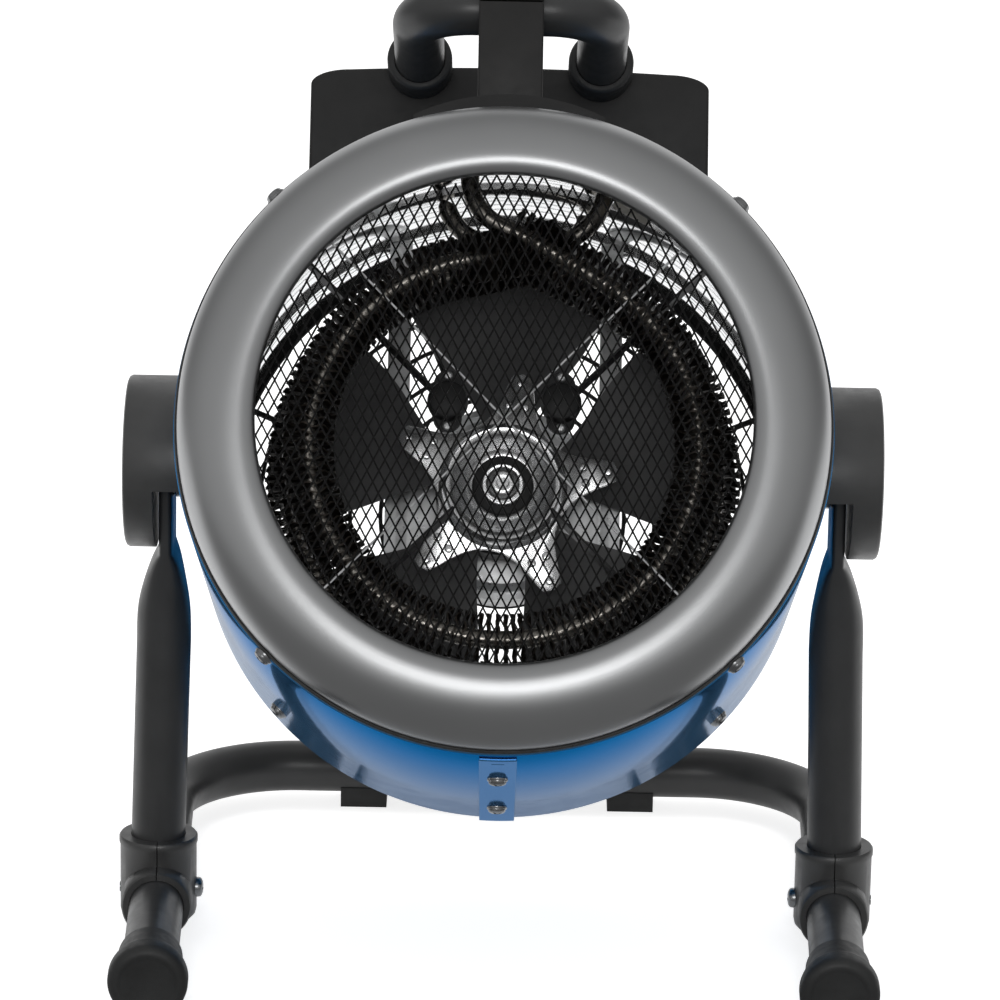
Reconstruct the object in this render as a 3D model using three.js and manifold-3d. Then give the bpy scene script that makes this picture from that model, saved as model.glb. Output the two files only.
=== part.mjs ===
// Forced air heater on a tilting stand, in millimetres.
// +Z is up, the outlet faces -Y, and the origin is on the floor under the middle of the heater.
import * as THREE from "three";
import { mergeVertices } from "three/addons/utils/BufferGeometryUtils.js";
import Module from "manifold-3d";

const wasm = await Module();
wasm.setup();

const RAD = Math.PI / 180;
const QUARTER = Math.PI / 2;
const TUBE_SIDES = 12;

// ---------------------------------------------------------------- driving dimensions

const FIT = 0.3; // running gap between neighbouring pieces
const FACET_GAP = 0.4; // extra gap between round pieces with different numbers of sides
const EDGE = 1.5; // chamfer on moulded edges
const REST_TILT = 26.65 * RAD; // drum axis above the horizontal
const TILT_DOWN = 50 * RAD; // travel of the drum below and above its rest position
const TILT_UP = 30 * RAD;

// Stand, with places measured from the pivot
const TUBE_R = 10.7;
const TUBE_WALL = 1.5;
const PIVOT_ABOVE_BASE = 174.7; // above the axis of the base tube
const ARM_FRONT_Y = -109; // cut ends of the base tube
const CROSSBAR_Y = 143.9;
const BASE_BEND_R = 53;
const TEE_Y = -6.85; // connectors and leg feet
const TOE_IN = 0.03; // the base arms draw together towards the front

const CAP_END_WALL = 4;
const CAP_SLEEVE_WALL = 1.5;
const CAP_SLEEVE_LEN = 17;
const CAP_BULB = 2.85; // bulb outside the sleeve
const CAP_BULB_LEN = 12;
const CAP_BULB_EDGE = 2;
const CAP_RIM_W = 3.4;
const CAP_RIM_RISE = 0.8;

const FOOT_X = 57;
const FOOT_W = 19.6;
const FOOT_D = 17;
const FOOT_TOP_Z = 14;

const TEE_WALL = 4.65; // of the collar round the leg
const TEE_ARM_WALL = 2.8; // of the sleeve round the base tube
const TEE_ARM_LEN = 23;
const TEE_TOP = 22.8; // collar above and below the axis of the base tube
const TEE_BOTTOM = -11.6;
const TEE_SCREW_R = 2;
const TEE_SCREW_HEAD_R = 4;
const TEE_SCREW_HEAD = 2.4;

// Legs
const LEG_FLAT_T = 5.6;
const LEG_FLAT_HALF_W = 15.5;
const LEG_FLAT_BELOW = 2.35; // flattened length below the hinge housing
const LEG_OPENING = 30; // length over which the flat opens out to the round tube
const LEG_ROUND_OUT = 1.3; // round tube's middle outside the flat's middle
const LEG_SPLAY = 3.3; // leg foot's middle outside the flat's middle

// Drum, measured from its front plane along its axis
const DRUM_R = 124.4;
const SHEET = 1.2;
const DRUM_LEN = 194.8;
const PIVOT_BACK = 82.8; // pivot behind the front plane
const CASING_FRONT = 1.8;
const CASING_HEM = 2; // rolled rear edge
const CASING_HEM_IN = 1.2;

const BEZEL_INNER_R = 92.8;
const BEZEL_LIP_W = 7.2; // crest outside the inner edge
const BEZEL_CREST = -19.5;
const BEZEL_LIP = -15;
const BEZEL_SKIRT_END = 14;

const MESH_T = 1;
const MESH_PITCH_X = 28;
const MESH_PITCH_Z = 50;
const MESH_BAR = 1.8;
const MESH_RIM = 7.2;
const MESH_INSET = 2; // rim outside the bezel's inner edge

const SHIELD_GAP = 7.2; // between the casing and the bright cylinder
const SHIELD_SHEET = 0.8;
const SHIELD_SIDES = 36;

const GUARD_DEPTH = 51.8; // front edge of the band before the rear end of the drum
const GUARD_INSET = 2.6; // face of the guard before the rear end of the drum
const GUARD_FACE_T = 2.4;
const GUARD_RING_COUNT = 4;
const GUARD_WIRE = 2.4;
const GUARD_SPOKES = 6;
const GUARD_RIM = 10;

const FRONT_SCREW_AT = 7;
const GUARD_SCREW_IN = 6; // behind the front edge of the band
const SEAM_SCREW_AT = 62;
const SCREW_R = 1.7;
const SCREW_HEAD_R = 3.9;
const SCREW_HEAD = 1.9;
const SCREW_END_GAP = 2.4; // screw end above the bright cylinder
const STRAP_W = 14.2;
const STRAP_T = 1.1;
const STRAP_START = 11.5;
const STRAP_INSET = 0.6;

// Hinges
const HOUSING_R = 33.65;
const HOUSING_WALL = 11.6; // outside the leg slot
const SLOT_SIDE_GAP = 1.1;
const SLOT_EDGE_GAP = 0.7;
const SLOT_MARGIN = 6 * RAD; // beyond the legs at each end of the travel
const BOLT_R = 4;
const BOLT_HEAD_R = 8;
const BOLT_HEAD = 4.2;
const BOLT_RECESS = 5;
const BOLT_END_GAP = 0.8;
const WASHER_R = 14;
const WASHER_T = 3.5;

// Handle
const HANDLE_R = 10;
const HANDLE_WALL = 1.5;
const HANDLE_RISE = 46.8; // tube axis above the casing
const HANDLE_FRONT = 34;
const HANDLE_HALF_W = 36.5;
const HANDLE_BEND_R = 22;
const PLUG_WALL = 2.8;
const PLUG_LEN = 15;
const PLUG_END_WALL = 3;
const POST_W = 25;
const POST_D = 27;
const CLAMP_TOP = 6; // clamp cap above the handle tube
const CLAMP_EDGE_W = 6;
const CLAMP_EDGE_H = 8;
const SADDLE_HALF_W = 36.5;
const SADDLE_D = 48;
const SADDLE_EDGE = 3.4;
const SADDLE_CROWN = 6.5;

// Control box
const BOX_D = 67;
const BOX_INSET = 7.8; // open back before the rear end of the drum
const BOX_HALF_W = 80.6;
const BOX_RISE = 47.9; // top above the casing
const BOX_ARCH = 1.6;
const BOX_CORNER_W = 16;
const BOX_CORNER_H = 6.5;
const BOX_WALL = 2.4;
const PANEL_T = 2.6;

// Controls on the rear panel: x to the right seen from the front, rise above the casing's crown
const SELECTOR = { x: -47, rise: 21.6 };
const THERMOSTAT = { x: 0, rise: 24.6 };
const LAMP = { x: 34, rise: 25.6 };
const RESET = { x: 60, rise: 25.6 };
const GLAND = { x: 60, rise: -1.4 };
const KNOB_R = 16;
const KNOB_H = 15;
const KNOB_SKIRT = 3;
const KNOB_BAR = 6;
const KNOB_BAR_RISE = 4;
const SPINDLE_R = 3;
const SPINDLE_LEN = 11;
const SWITCH_W = 30;
const SWITCH_D = 24;
const LAMP_R = 5;
const LAMP_LEN = 9;
const LAMP_FLANGE = 1.5;
const LAMP_DOME = 4;
const RESET_R = 5;
const RESET_H = 6.5;
const RESET_FLANGE = 2;
const GLAND_R = 10;
const GLAND_FLANGE = 3;
const GLAND_BORE = 4;
const GLAND_IN = 9;
const GLAND_OUT = 15;

// Inside the drum
const FRONT_RING_R = 75;
const REAR_RING_R = 84;
const FIN_R = 10;
const ROD_R = 4;
const FINS = 16;
const FIN_T = 1.6;
const ELEMENT_SIDES = 6;
const COLD_LEFT = 9 * RAD; // angles of the two cold ends beside the top of a ring
const COLD_RIGHT = 27 * RAD;
const COLD_BEND = 12; // where a cold end turns out of its ring
const STRIP_T = 1.4;
const STRIP_W = 14;
const STRIP_TO_RING = 24; // strip edge to the middle of a ring
const STRIP_HUB_R = 5;
const TAB_HALF = 5;
const BLOCK_W = 16;
const BLOCK_D = 20;
const BLOCK_H = 9;
const CUTOUT_X = 22; // thermal cut-outs beside and above the drum axis
const CUTOUT_H = 22;
const CUTOUT_CAN_R = 8;
const CUTOUT_CAN = 7;
const CUTOUT_EAR = 13;
const CUTOUT_PLATE_T = 1.2;

const FAN_TIP_GAP = 21.2;
const BLADES = 5;
const FAN_TO_BRACKET = 15;
const FAN_TO_RING = 30;
const BLADE_RISE = 8.4; // leading edge before the middle of the wheel
const BLADE_HALF = 25 * RAD;
const BLADE_T = 1.8;
const BLADE_ROOT = 3;
const FAN_HUB_R = 27;
const FAN_HUB_LEN = 16;
const HUB_CAP_R = 24.5;
const HUB_CAP_LEN = 9.5;
const HUB_CAP_DOME = 3;
const HUB_CAP_GRIP = 5;
const SHAFT_R = 4;
const SHAFT_IN_MOTOR = 4;
const MOTOR_R = 40;
const MOTOR_LEN = 35.7;
const MOTOR_STEP = 6;
const BRACKET_IN = 6; // behind the front edge of the guard's band
const BRACKET_T = 2;
const BRACKET_X = 43;
const BRACKET_W = 9;
const BRACKET_PLATE_H = 22;

// ---------------------------------------------------------------- derived places

const BORE_R = TUBE_R + FIT;
const CAP_SLEEVE_R = BORE_R + CAP_SLEEVE_WALL;
const CAP_R = CAP_SLEEVE_R + CAP_BULB;
const BASE_AXIS_Z = CAP_R; // the end caps stand on the floor
const PIVOT_Z = BASE_AXIS_Z + PIVOT_ABOVE_BASE;
const TEE_R = BORE_R + TEE_WALL;

const CASING_IN_R = DRUM_R - SHEET;
const SEAT_R = DRUM_R + FIT; // what stands on the casing
const BEZEL_R = CASING_IN_R - FIT;
const BEZEL_CREST_R = BEZEL_INNER_R + BEZEL_LIP_W;
const GUARD_R = CASING_IN_R - FIT;
const GUARD_FRONT = DRUM_LEN - GUARD_DEPTH;
const GUARD_FACE = DRUM_LEN - GUARD_INSET;
const REAR_SCREW_AT = GUARD_FRONT + GUARD_SCREW_IN;
const SHIELD_R = CASING_IN_R - SHIELD_GAP;
const SHIELD_FRONT = BEZEL_SKIRT_END + FACET_GAP;
const SHIELD_REAR = GUARD_FRONT - 2;
const SHIELD_IN_R = (SHIELD_R - SHIELD_SHEET) * Math.cos(Math.PI / SHIELD_SIDES);

const FLAT_IN_X = SEAT_R + WASHER_T + FIT;
const LEG_FLAT_X = FLAT_IN_X + LEG_FLAT_T / 2;
const LEG_FLAT_END = -HOUSING_R - LEG_FLAT_BELOW;
const LEG_ROUND_START = LEG_FLAT_END - LEG_OPENING;
const LEG_ROUND_X = LEG_FLAT_X + LEG_ROUND_OUT;
const TEE_X = LEG_FLAT_X + LEG_SPLAY;
const SLOT_X = LEG_FLAT_X + LEG_FLAT_T / 2 + SLOT_SIDE_GAP;
const HOUSING_X = SLOT_X + HOUSING_WALL;
const LEG_DIRECTION = QUARTER + REST_TILT; // of the legs at rest, below the drum's forward axis
const SLOT_FROM = LEG_DIRECTION - TILT_DOWN - SLOT_MARGIN;
const SLOT_TO = LEG_DIRECTION + TILT_UP + SLOT_MARGIN;

const BRACKET_AT = GUARD_FRONT + BRACKET_IN;
const FAN_R = SHIELD_IN_R - FAN_TIP_GAP;
const FAN_MID = BRACKET_AT - FAN_TO_BRACKET;
const FAN_HUB_FRONT = FAN_MID - FAN_HUB_LEN / 2;
const FAN_HUB_REAR = FAN_MID + FAN_HUB_LEN / 2;
const HUB_CAP_FRONT = FAN_HUB_FRONT - HUB_CAP_LEN;
const REAR_RING = { r: REAR_RING_R, at: FAN_MID - FAN_TO_RING };
const STRIP_REAR = REAR_RING.at - STRIP_TO_RING;
const STRIP_FRONT = STRIP_REAR - STRIP_W;
const FRONT_RING = { r: FRONT_RING_R, at: STRIP_FRONT - STRIP_TO_RING };

const BOX_REAR = DRUM_LEN - BOX_INSET;
const BOX_FRONT = BOX_REAR - BOX_D;
const BOX_TOP = DRUM_R + BOX_RISE;
const PANEL_BACK = BOX_REAR + FIT;
const PANEL_FACE = PANEL_BACK + PANEL_T;
const HANDLE_H = DRUM_R + HANDLE_RISE;
const PLUG_R = HANDLE_R + FIT + PLUG_WALL;

// ---------------------------------------------------------------- solids

// Orders each triangle so that the faces point outwards.
function facingOut(geometry) {
  const p = geometry.getAttribute("position");
  const index = geometry.index.array;
  const [a, b, c] = [new THREE.Vector3(), new THREE.Vector3(), new THREE.Vector3()];
  let volume = 0;
  for (let i = 0; i < index.length; i += 3) {
    a.fromBufferAttribute(p, index[i]);
    b.fromBufferAttribute(p, index[i + 1]);
    c.fromBufferAttribute(p, index[i + 2]);
    volume += a.dot(b.cross(c));
  }
  if (volume < 0) {
    for (let i = 0; i < index.length; i += 3) {
      [index[i + 1], index[i + 2]] = [index[i + 2], index[i + 1]];
    }
  }
  return geometry;
}

function toSolid(geometry) {
  const bare = geometry.clone();
  bare.deleteAttribute("normal");
  bare.deleteAttribute("uv");
  const merged = facingOut(mergeVertices(bare, 1e-4));
  return new wasm.Manifold(
    new wasm.Mesh({
      numProp: 3,
      vertProperties: new Float32Array(merged.getAttribute("position").array),
      triVerts: new Uint32Array(merged.index.array),
    }),
  );
}

function toGeometry(solid) {
  const mesh = solid.getMesh();
  const geometry = new THREE.BufferGeometry();
  geometry.setAttribute("position", new THREE.BufferAttribute(mesh.vertProperties, 3));
  geometry.setIndex(new THREE.BufferAttribute(mesh.triVerts, 1));
  geometry.computeVertexNormals();
  return geometry;
}

function join(geometries) {
  return toGeometry(geometries.map(toSolid).reduce((sum, solid) => sum.add(solid)));
}

function cut(geometry, tools) {
  return toGeometry(tools.map(toSolid).reduce((rest, tool) => rest.subtract(tool), toSolid(geometry)));
}

function common(first, second) {
  return toGeometry(toSolid(first).intersect(toSolid(second)));
}

// Skins a list of rings of points. The ends are closed by flat fans unless the rings form a loop.
function skin(rings, loop = false) {
  const sides = rings[0].length;
  const positions = rings.flat().flatMap((v) => [v.x, v.y, v.z]);
  const index = [];
  const bands = loop ? rings.length : rings.length - 1;
  for (let i = 0; i < bands; i++) {
    const here = i * sides;
    const next = ((i + 1) % rings.length) * sides;
    for (let j = 0; j < sides; j++) {
      const k = (j + 1) % sides;
      index.push(here + j, here + k, next + j, next + j, here + k, next + k);
    }
  }
  if (!loop) {
    const last = (rings.length - 1) * sides;
    for (let j = 1; j < sides - 1; j++) {
      index.push(0, j + 1, j, last, last + j, last + j + 1);
    }
  }
  const geometry = new THREE.BufferGeometry();
  geometry.setAttribute("position", new THREE.Float32BufferAttribute(positions, 3));
  geometry.setIndex(index);
  return facingOut(geometry);
}

// A ring of points round a path point, in the plane across the path's direction.
function crossRing(centre, direction, radius, sides, up) {
  const side = new THREE.Vector3().crossVectors(direction, up).normalize();
  const ring = [];
  for (let j = 0; j < sides; j++) {
    const a = (2 * Math.PI * (j + 0.5)) / sides;
    ring.push(
      centre
        .clone()
        .addScaledVector(side, radius * Math.cos(a))
        .addScaledVector(up, radius * Math.sin(a)),
    );
  }
  return ring;
}

// Rings along a flat path whose plane has the normal `up`.
function ringsAlong(path, radius, sides, up) {
  return path.map((point, i) => {
    const before = path[Math.max(i - 1, 0)];
    const after = path[Math.min(i + 1, path.length - 1)];
    const forward = new THREE.Vector3().subVectors(after, before).normalize();
    return crossRing(point, forward, radius, sides, up);
  });
}

// A bent tube, open at both ends.
function tube(path, radius, wall, sides, up) {
  const outer = ringsAlong(path, radius, sides, up);
  const inner = ringsAlong(path, radius - wall, sides, up).reverse();
  return skin([...outer, ...inner], true);
}

// The points of a polyline whose corners are rounded by arcs of one radius.
function roundedPath(corners, radius, steps) {
  const path = [corners[0]];
  for (let i = 1; i < corners.length - 1; i++) {
    const back = new THREE.Vector3().subVectors(corners[i - 1], corners[i]).normalize();
    const on = new THREE.Vector3().subVectors(corners[i + 1], corners[i]).normalize();
    const half = back.angleTo(on) / 2;
    const bisector = back.clone().add(on).normalize();
    const centre = corners[i].clone().addScaledVector(bisector, radius / Math.sin(half));
    const start = corners[i].clone().addScaledVector(back, radius / Math.tan(half));
    const end = corners[i].clone().addScaledVector(on, radius / Math.tan(half));
    const from = new THREE.Vector3().subVectors(start, centre).normalize();
    const to = new THREE.Vector3().subVectors(end, centre).normalize();
    const sweep = from.angleTo(to);
    for (let s = 0; s <= steps; s++) {
      const w = s / steps;
      const spoke = from
        .clone()
        .multiplyScalar(Math.sin((1 - w) * sweep))
        .addScaledVector(to, Math.sin(w * sweep))
        .divideScalar(Math.sin(sweep));
      path.push(centre.clone().addScaledVector(spoke, radius));
    }
  }
  path.push(corners[corners.length - 1]);
  return path;
}

// A turned solid about the Y axis from [radius, y] pairs; an open profile starts and ends on the axis.
function turned(profile, segments) {
  const points = profile.map(([r, y]) => new THREE.Vector2(r, y));
  if (points[0].x > 0) points.push(points[0].clone());
  return new THREE.LatheGeometry(points, segments);
}

function ringBand(rOut, rIn, from, to, segments) {
  const profile = [
    [rIn, from],
    [rOut, from],
    [rOut, to],
    [rIn, to],
  ];
  return turned(profile, segments);
}

function rod(radius, from, to, segments) {
  return turned(
    [
      [0, from],
      [radius, from],
      [radius, to],
      [0, to],
    ],
    segments,
  );
}

function box(x0, x1, y0, y1, z0, z1) {
  const geometry = new THREE.BoxGeometry(x1 - x0, y1 - y0, z1 - z0);
  return geometry.translate((x0 + x1) / 2, (y0 + y1) / 2, (z0 + z1) / 2);
}

// An outline of [x, z] points pushed along +Y from `from` to `to`.
function prism(outline, from, to) {
  const shape = new THREE.Shape(outline.map(([x, z]) => new THREE.Vector2(x, z)));
  const geometry = new THREE.ExtrudeGeometry(shape, { depth: to - from, bevelEnabled: false });
  return geometry.rotateX(Math.PI / 2).scale(1, -1, 1).translate(0, from, 0);
}

// An outline of [y, z] points pushed along +X from `from` to `to`.
function sidePrism(outline, from, to) {
  return prism(outline.map(([y, z]) => [-y, z]), from, to).rotateZ(-Math.PI / 2);
}

function arc(radius, from, to, steps) {
  const points = [];
  for (let i = 0; i <= steps; i++) {
    const a = from + ((to - from) * i) / steps;
    points.push([radius * Math.cos(a), radius * Math.sin(a)]);
  }
  return points;
}

// ---------------------------------------------------------------- finishes

const finish = (color, roughness, metalness) => ({ color, roughness, metalness });
const BLACK_TUBE = finish(0x2b2d2f, 0.35, 0.1);
const BLACK_PLASTIC = finish(0x303234, 0.5, 0);
const RUBBER = finish(0x3a3c3c, 0.8, 0);
const BLUE_PAINT = finish(0x2a5f8a, 0.15, 0.1);
const BRIGHT_METAL = finish(0xc4c6c8, 0.2, 1);
const ZINC = finish(0x9a9c9e, 0.4, 1);
const BLACK_METAL = finish(0x1c1d1f, 0.45, 0.3);
const CERAMIC = finish(0xe6e2d8, 0.6, 0);
const LAMP_RED = finish(0xc33a22, 0.3, 0);
const BUTTON_RED = finish(0xa8261e, 0.5, 0);

function piece(name, geometry, { color, roughness, metalness }) {
  const material = new THREE.MeshStandardMaterial({ color, roughness, metalness });
  const mesh = new THREE.Mesh(geometry, material);
  mesh.name = name;
  return mesh;
}

const SIDES = [
  { tag: "left", sign: -1 },
  { tag: "right", sign: 1 },
];

// ---------------------------------------------------------------- stand (frame at the pivot, level)

const BASE_Z = -PIVOT_ABOVE_BASE;
const armX = (y) => TEE_X + TOE_IN * (y - TEE_Y);
const TOE_ANGLE = Math.atan(TOE_IN);

function baseTube() {
  const cornerX = armX(CROSSBAR_Y);
  const corners = [
    new THREE.Vector3(-armX(ARM_FRONT_Y), ARM_FRONT_Y, BASE_Z),
    new THREE.Vector3(-cornerX, CROSSBAR_Y, BASE_Z),
    new THREE.Vector3(cornerX, CROSSBAR_Y, BASE_Z),
    new THREE.Vector3(armX(ARM_FRONT_Y), ARM_FRONT_Y, BASE_Z),
  ];
  const path = roundedPath(corners, BASE_BEND_R, 6);
  const whole = tube(path, TUBE_R, TUBE_WALL, TUBE_SIDES, new THREE.Vector3(0, 0, 1));
  return cut(whole, SIDES.map(({ sign }) => teeScrewShank(sign, TEE_SCREW_R + FIT)));
}

// The cap covers the cut end of an arm and points forward along it.
function endCap(sign) {
  const bulbEnd = CAP_BULB_LEN - CAP_END_WALL;
  const profile = [
    [0, -CAP_END_WALL],
    [CAP_R - CAP_RIM_W - EDGE, -CAP_END_WALL],
    [CAP_R - CAP_RIM_W, -CAP_END_WALL - CAP_RIM_RISE],
    [CAP_R - CAP_BULB_EDGE, -CAP_END_WALL],
    [CAP_R, -CAP_END_WALL + CAP_BULB_EDGE],
    [CAP_R, bulbEnd - CAP_BULB_EDGE],
    [CAP_SLEEVE_R, bulbEnd],
    [CAP_SLEEVE_R, bulbEnd + CAP_SLEEVE_LEN],
    [BORE_R, bulbEnd + CAP_SLEEVE_LEN],
    [BORE_R, -FIT],
    [0, -FIT],
  ];
  return turned(profile, 20)
    .rotateZ(-sign * TOE_ANGLE)
    .translate(sign * armX(ARM_FRONT_Y), ARM_FRONT_Y, BASE_Z);
}

// A pad with a cradle for the crossbar.
function rearFoot(sign) {
  const bottom = BASE_Z - BASE_AXIS_Z;
  const pad = box(
    sign * FOOT_X - FOOT_W / 2,
    sign * FOOT_X + FOOT_W / 2,
    CROSSBAR_Y - FOOT_D / 2,
    CROSSBAR_Y + FOOT_D / 2,
    bottom,
    bottom + FOOT_TOP_Z,
  );
  const cradle = rod(BORE_R, -FOOT_W, FOOT_W, 28)
    .rotateZ(QUARTER)
    .translate(sign * FOOT_X, CROSSBAR_Y, BASE_Z);
  return cut(pad, [cradle]);
}

function teeScrewShank(sign, radius) {
  return rod(radius, -TEE_R - TEE_SCREW_HEAD, TEE_R + TEE_SCREW_HEAD, 12)
    .rotateZ(QUARTER)
    .translate(sign * TEE_X, TEE_Y, BASE_Z);
}

// One half shell of a connector; `half` is +1 for the outer half and -1 for the inner one.
function teeHalf(sign, half) {
  const reach = TEE_ARM_LEN + TEE_R;
  const socket = rod(TEE_R, TEE_BOTTOM, TEE_TOP, 24).rotateX(QUARTER);
  const sleeve = rod(BORE_R + TEE_ARM_WALL, -TEE_ARM_LEN, TEE_ARM_LEN, 20);
  const legBore = rod(BORE_R, 0, reach, 16).rotateX(QUARTER);
  const armBore = rod(BORE_R, -reach, reach, 16);
  const halfSpace = box(FIT / 2, reach, -reach, reach, -reach, reach);
  const keep = sign * half > 0 ? halfSpace : halfSpace.rotateZ(Math.PI);
  const shell = cut(join([socket, sleeve]), [legBore, armBore]);
  const placed = common(shell, keep)
    .rotateZ(-sign * TOE_ANGLE)
    .translate(sign * TEE_X, TEE_Y, BASE_Z);
  const shank = teeScrewShank(sign, TEE_SCREW_R + FIT);
  return cut(placed, [shank]);
}

// The clamp screw passes through both halves and the tube, with its head on the inner side.
function teeScrew(sign) {
  const seat = TEE_R + FIT;
  const profile = [
    [0, FIT - TEE_R],
    [TEE_SCREW_R, FIT - TEE_R],
    [TEE_SCREW_R, seat],
    [TEE_SCREW_HEAD_R, seat],
    [TEE_SCREW_HEAD_R, seat + TEE_SCREW_HEAD * 0.6],
    [TEE_SCREW_HEAD_R * 0.7, seat + TEE_SCREW_HEAD],
    [0, seat + TEE_SCREW_HEAD],
  ];
  return turned(profile, 10)
    .rotateZ(sign * QUARTER)
    .translate(sign * TEE_X, TEE_Y, BASE_Z);
}

// A leg's section: a flattened oval at the top that opens out to the round tube.
function legRing(z, centreX, centreY, halfX, halfY, power) {
  const ring = [];
  for (let j = 0; j < TUBE_SIDES; j++) {
    const a = (2 * Math.PI * j) / TUBE_SIDES;
    const c = Math.cos(a);
    const s = Math.sin(a);
    const x = Math.sign(c) * Math.abs(c) ** (2 / power) * halfX;
    const y = Math.sign(s) * Math.abs(s) ** (2 / power) * halfY;
    ring.push(new THREE.Vector3(centreX + x, centreY + y, z));
  }
  return ring;
}

function leg(sign) {
  const foot = BASE_Z + BORE_R;
  const collar = BASE_Z + TEE_TOP + 2;
  const leanY = (z) => TEE_Y * Math.min(z / collar, 1);
  const tubeX = (z) => {
    const share = (z - LEG_ROUND_START) / (collar - LEG_ROUND_START);
    return LEG_ROUND_X + (TEE_X - LEG_ROUND_X) * Math.min(share, 1);
  };
  const mix = (a, b, w) => a + (b - a) * w;
  const section = (z, shrink) => {
    const raw = (LEG_FLAT_END - z) / (LEG_FLAT_END - LEG_ROUND_START);
    const w = THREE.MathUtils.smoothstep(raw, 0, 1);
    const x = z < LEG_ROUND_START ? tubeX(z) : mix(LEG_FLAT_X, LEG_ROUND_X, w);
    const crown = z > 0 ? Math.sqrt(LEG_FLAT_HALF_W ** 2 - z ** 2) : LEG_FLAT_HALF_W;
    const halfX = mix(LEG_FLAT_T / 2, TUBE_R, w) - shrink;
    const halfY = mix(crown, TUBE_R, w) - shrink;
    return legRing(z, sign * x, leanY(z), halfX, halfY, mix(5, 2, w));
  };
  const crownTop = [0.985, 0.9, 0.75, 0.5].map((f) => f * LEG_FLAT_HALF_W);
  const opening = [0.2, 0.4, 0.6, 0.8].map((f) => mix(LEG_FLAT_END, LEG_ROUND_START, f));
  const outerZ = [...crownTop, 0, LEG_FLAT_END, ...opening, LEG_ROUND_START, collar, foot];
  const innerZ = [foot, collar, LEG_ROUND_START, ...opening.slice(1).reverse()];
  const rings = [...outerZ.map((z) => section(z, 0)), ...innerZ.map((z) => section(z, TUBE_WALL))];
  const eye = rod(BOLT_R + FIT, LEG_FLAT_X - LEG_FLAT_T, LEG_FLAT_X + LEG_FLAT_T, 12);
  return cut(skin(rings), [eye.rotateZ(-sign * QUARTER)]);
}

function buildStand() {
  const stand = new THREE.Group();
  stand.add(piece("base_tube", baseTube(), BLACK_TUBE));
  for (const { tag, sign } of SIDES) {
    stand.add(piece(`end_cap_${tag}`, endCap(sign), RUBBER));
    stand.add(piece(`rear_foot_${tag}`, rearFoot(sign), RUBBER));
    stand.add(piece(`tee_outer_${tag}`, teeHalf(sign, 1), BLACK_PLASTIC));
    stand.add(piece(`tee_inner_${tag}`, teeHalf(sign, -1), BLACK_PLASTIC));
    stand.add(piece(`tee_screw_${tag}`, teeScrew(sign), ZINC));
    stand.add(piece(`leg_${tag}`, leg(sign), BLACK_TUBE));
  }
  return stand;
}

// ---------------------------------------------------------------- drum (frame at the pivot, +Y backwards)

const at = (fromFront) => fromFront - PIVOT_BACK;
const ROUND = 40;

// Turns a radial piece, made along +Z, to an angle clockwise from the top seen from the front.
const toAngle = (geometry, angle) => geometry.rotateY(angle);

function radialScrewShank(angle, along, radius) {
  const shank = rod(radius, SHIELD_R, DRUM_R + SHIELD_GAP, 12).rotateX(QUARTER);
  return toAngle(shank.translate(0, at(along), 0), angle);
}

function radialScrew(angle, along, seat) {
  const head = seat + FIT;
  const profile = [
    [0, SHIELD_R + SCREW_END_GAP],
    [SCREW_R, SHIELD_R + SCREW_END_GAP],
    [SCREW_R, head],
    [SCREW_HEAD_R, head],
    [SCREW_HEAD_R, head + SCREW_HEAD * 0.5],
    [SCREW_HEAD_R * 0.7, head + SCREW_HEAD],
    [0, head + SCREW_HEAD],
  ];
  return toAngle(turned(profile, 8).rotateX(QUARTER).translate(0, at(along), 0), angle);
}

const CORNERS = [45, 135, 225, 315].map((deg) => deg * RAD);
const LOWER_CORNERS = CORNERS.slice(1, 3);
const BOTTOM = Math.PI;
const SCREW_HOLE_R = SCREW_R + FIT;
const frontHoles = () => CORNERS.map((angle) => radialScrewShank(angle, FRONT_SCREW_AT, SCREW_HOLE_R));
const rearHoles = () => LOWER_CORNERS.map((angle) => radialScrewShank(angle, REAR_SCREW_AT, SCREW_HOLE_R));
const SEAM_SCREWS = [SEAM_SCREW_AT, REAR_SCREW_AT];
const seamHoles = () => SEAM_SCREWS.map((along) => radialScrewShank(BOTTOM, along, SCREW_HOLE_R));

function pivotHoles() {
  return SIDES.map(({ sign }) =>
    rod(BOLT_R + FIT, SHIELD_R, DRUM_R + SHIELD_GAP, 12).rotateZ(-sign * QUARTER),
  );
}

function casing() {
  const shell = turned(
    [
      [CASING_IN_R, at(CASING_FRONT)],
      [DRUM_R - SHEET / 3, at(CASING_FRONT)],
      [DRUM_R, at(CASING_FRONT + SHEET / 2)],
      [DRUM_R, at(DRUM_LEN - CASING_HEM)],
      [CASING_IN_R, at(DRUM_LEN)],
      [CASING_IN_R - CASING_HEM_IN, at(DRUM_LEN)],
      [CASING_IN_R - CASING_HEM_IN, at(DRUM_LEN - SHEET)],
      [CASING_IN_R, at(DRUM_LEN - CASING_HEM)],
    ],
    ROUND,
  );
  return cut(shell, [...frontHoles(), ...rearHoles(), ...seamHoles(), ...pivotHoles()]);
}

// A curved strip over the sheet's seam along the bottom.
function seamStrap() {
  const half = STRAP_W / 2 / DRUM_R;
  const inner = arc(SEAT_R, -QUARTER - half, half - QUARTER, 4);
  const outer = arc(SEAT_R + STRAP_T, half - QUARTER, -QUARTER - half, 4);
  const strip = prism([...inner, ...outer], at(STRAP_START), at(DRUM_LEN - STRAP_INSET));
  return cut(strip, seamHoles());
}

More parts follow.
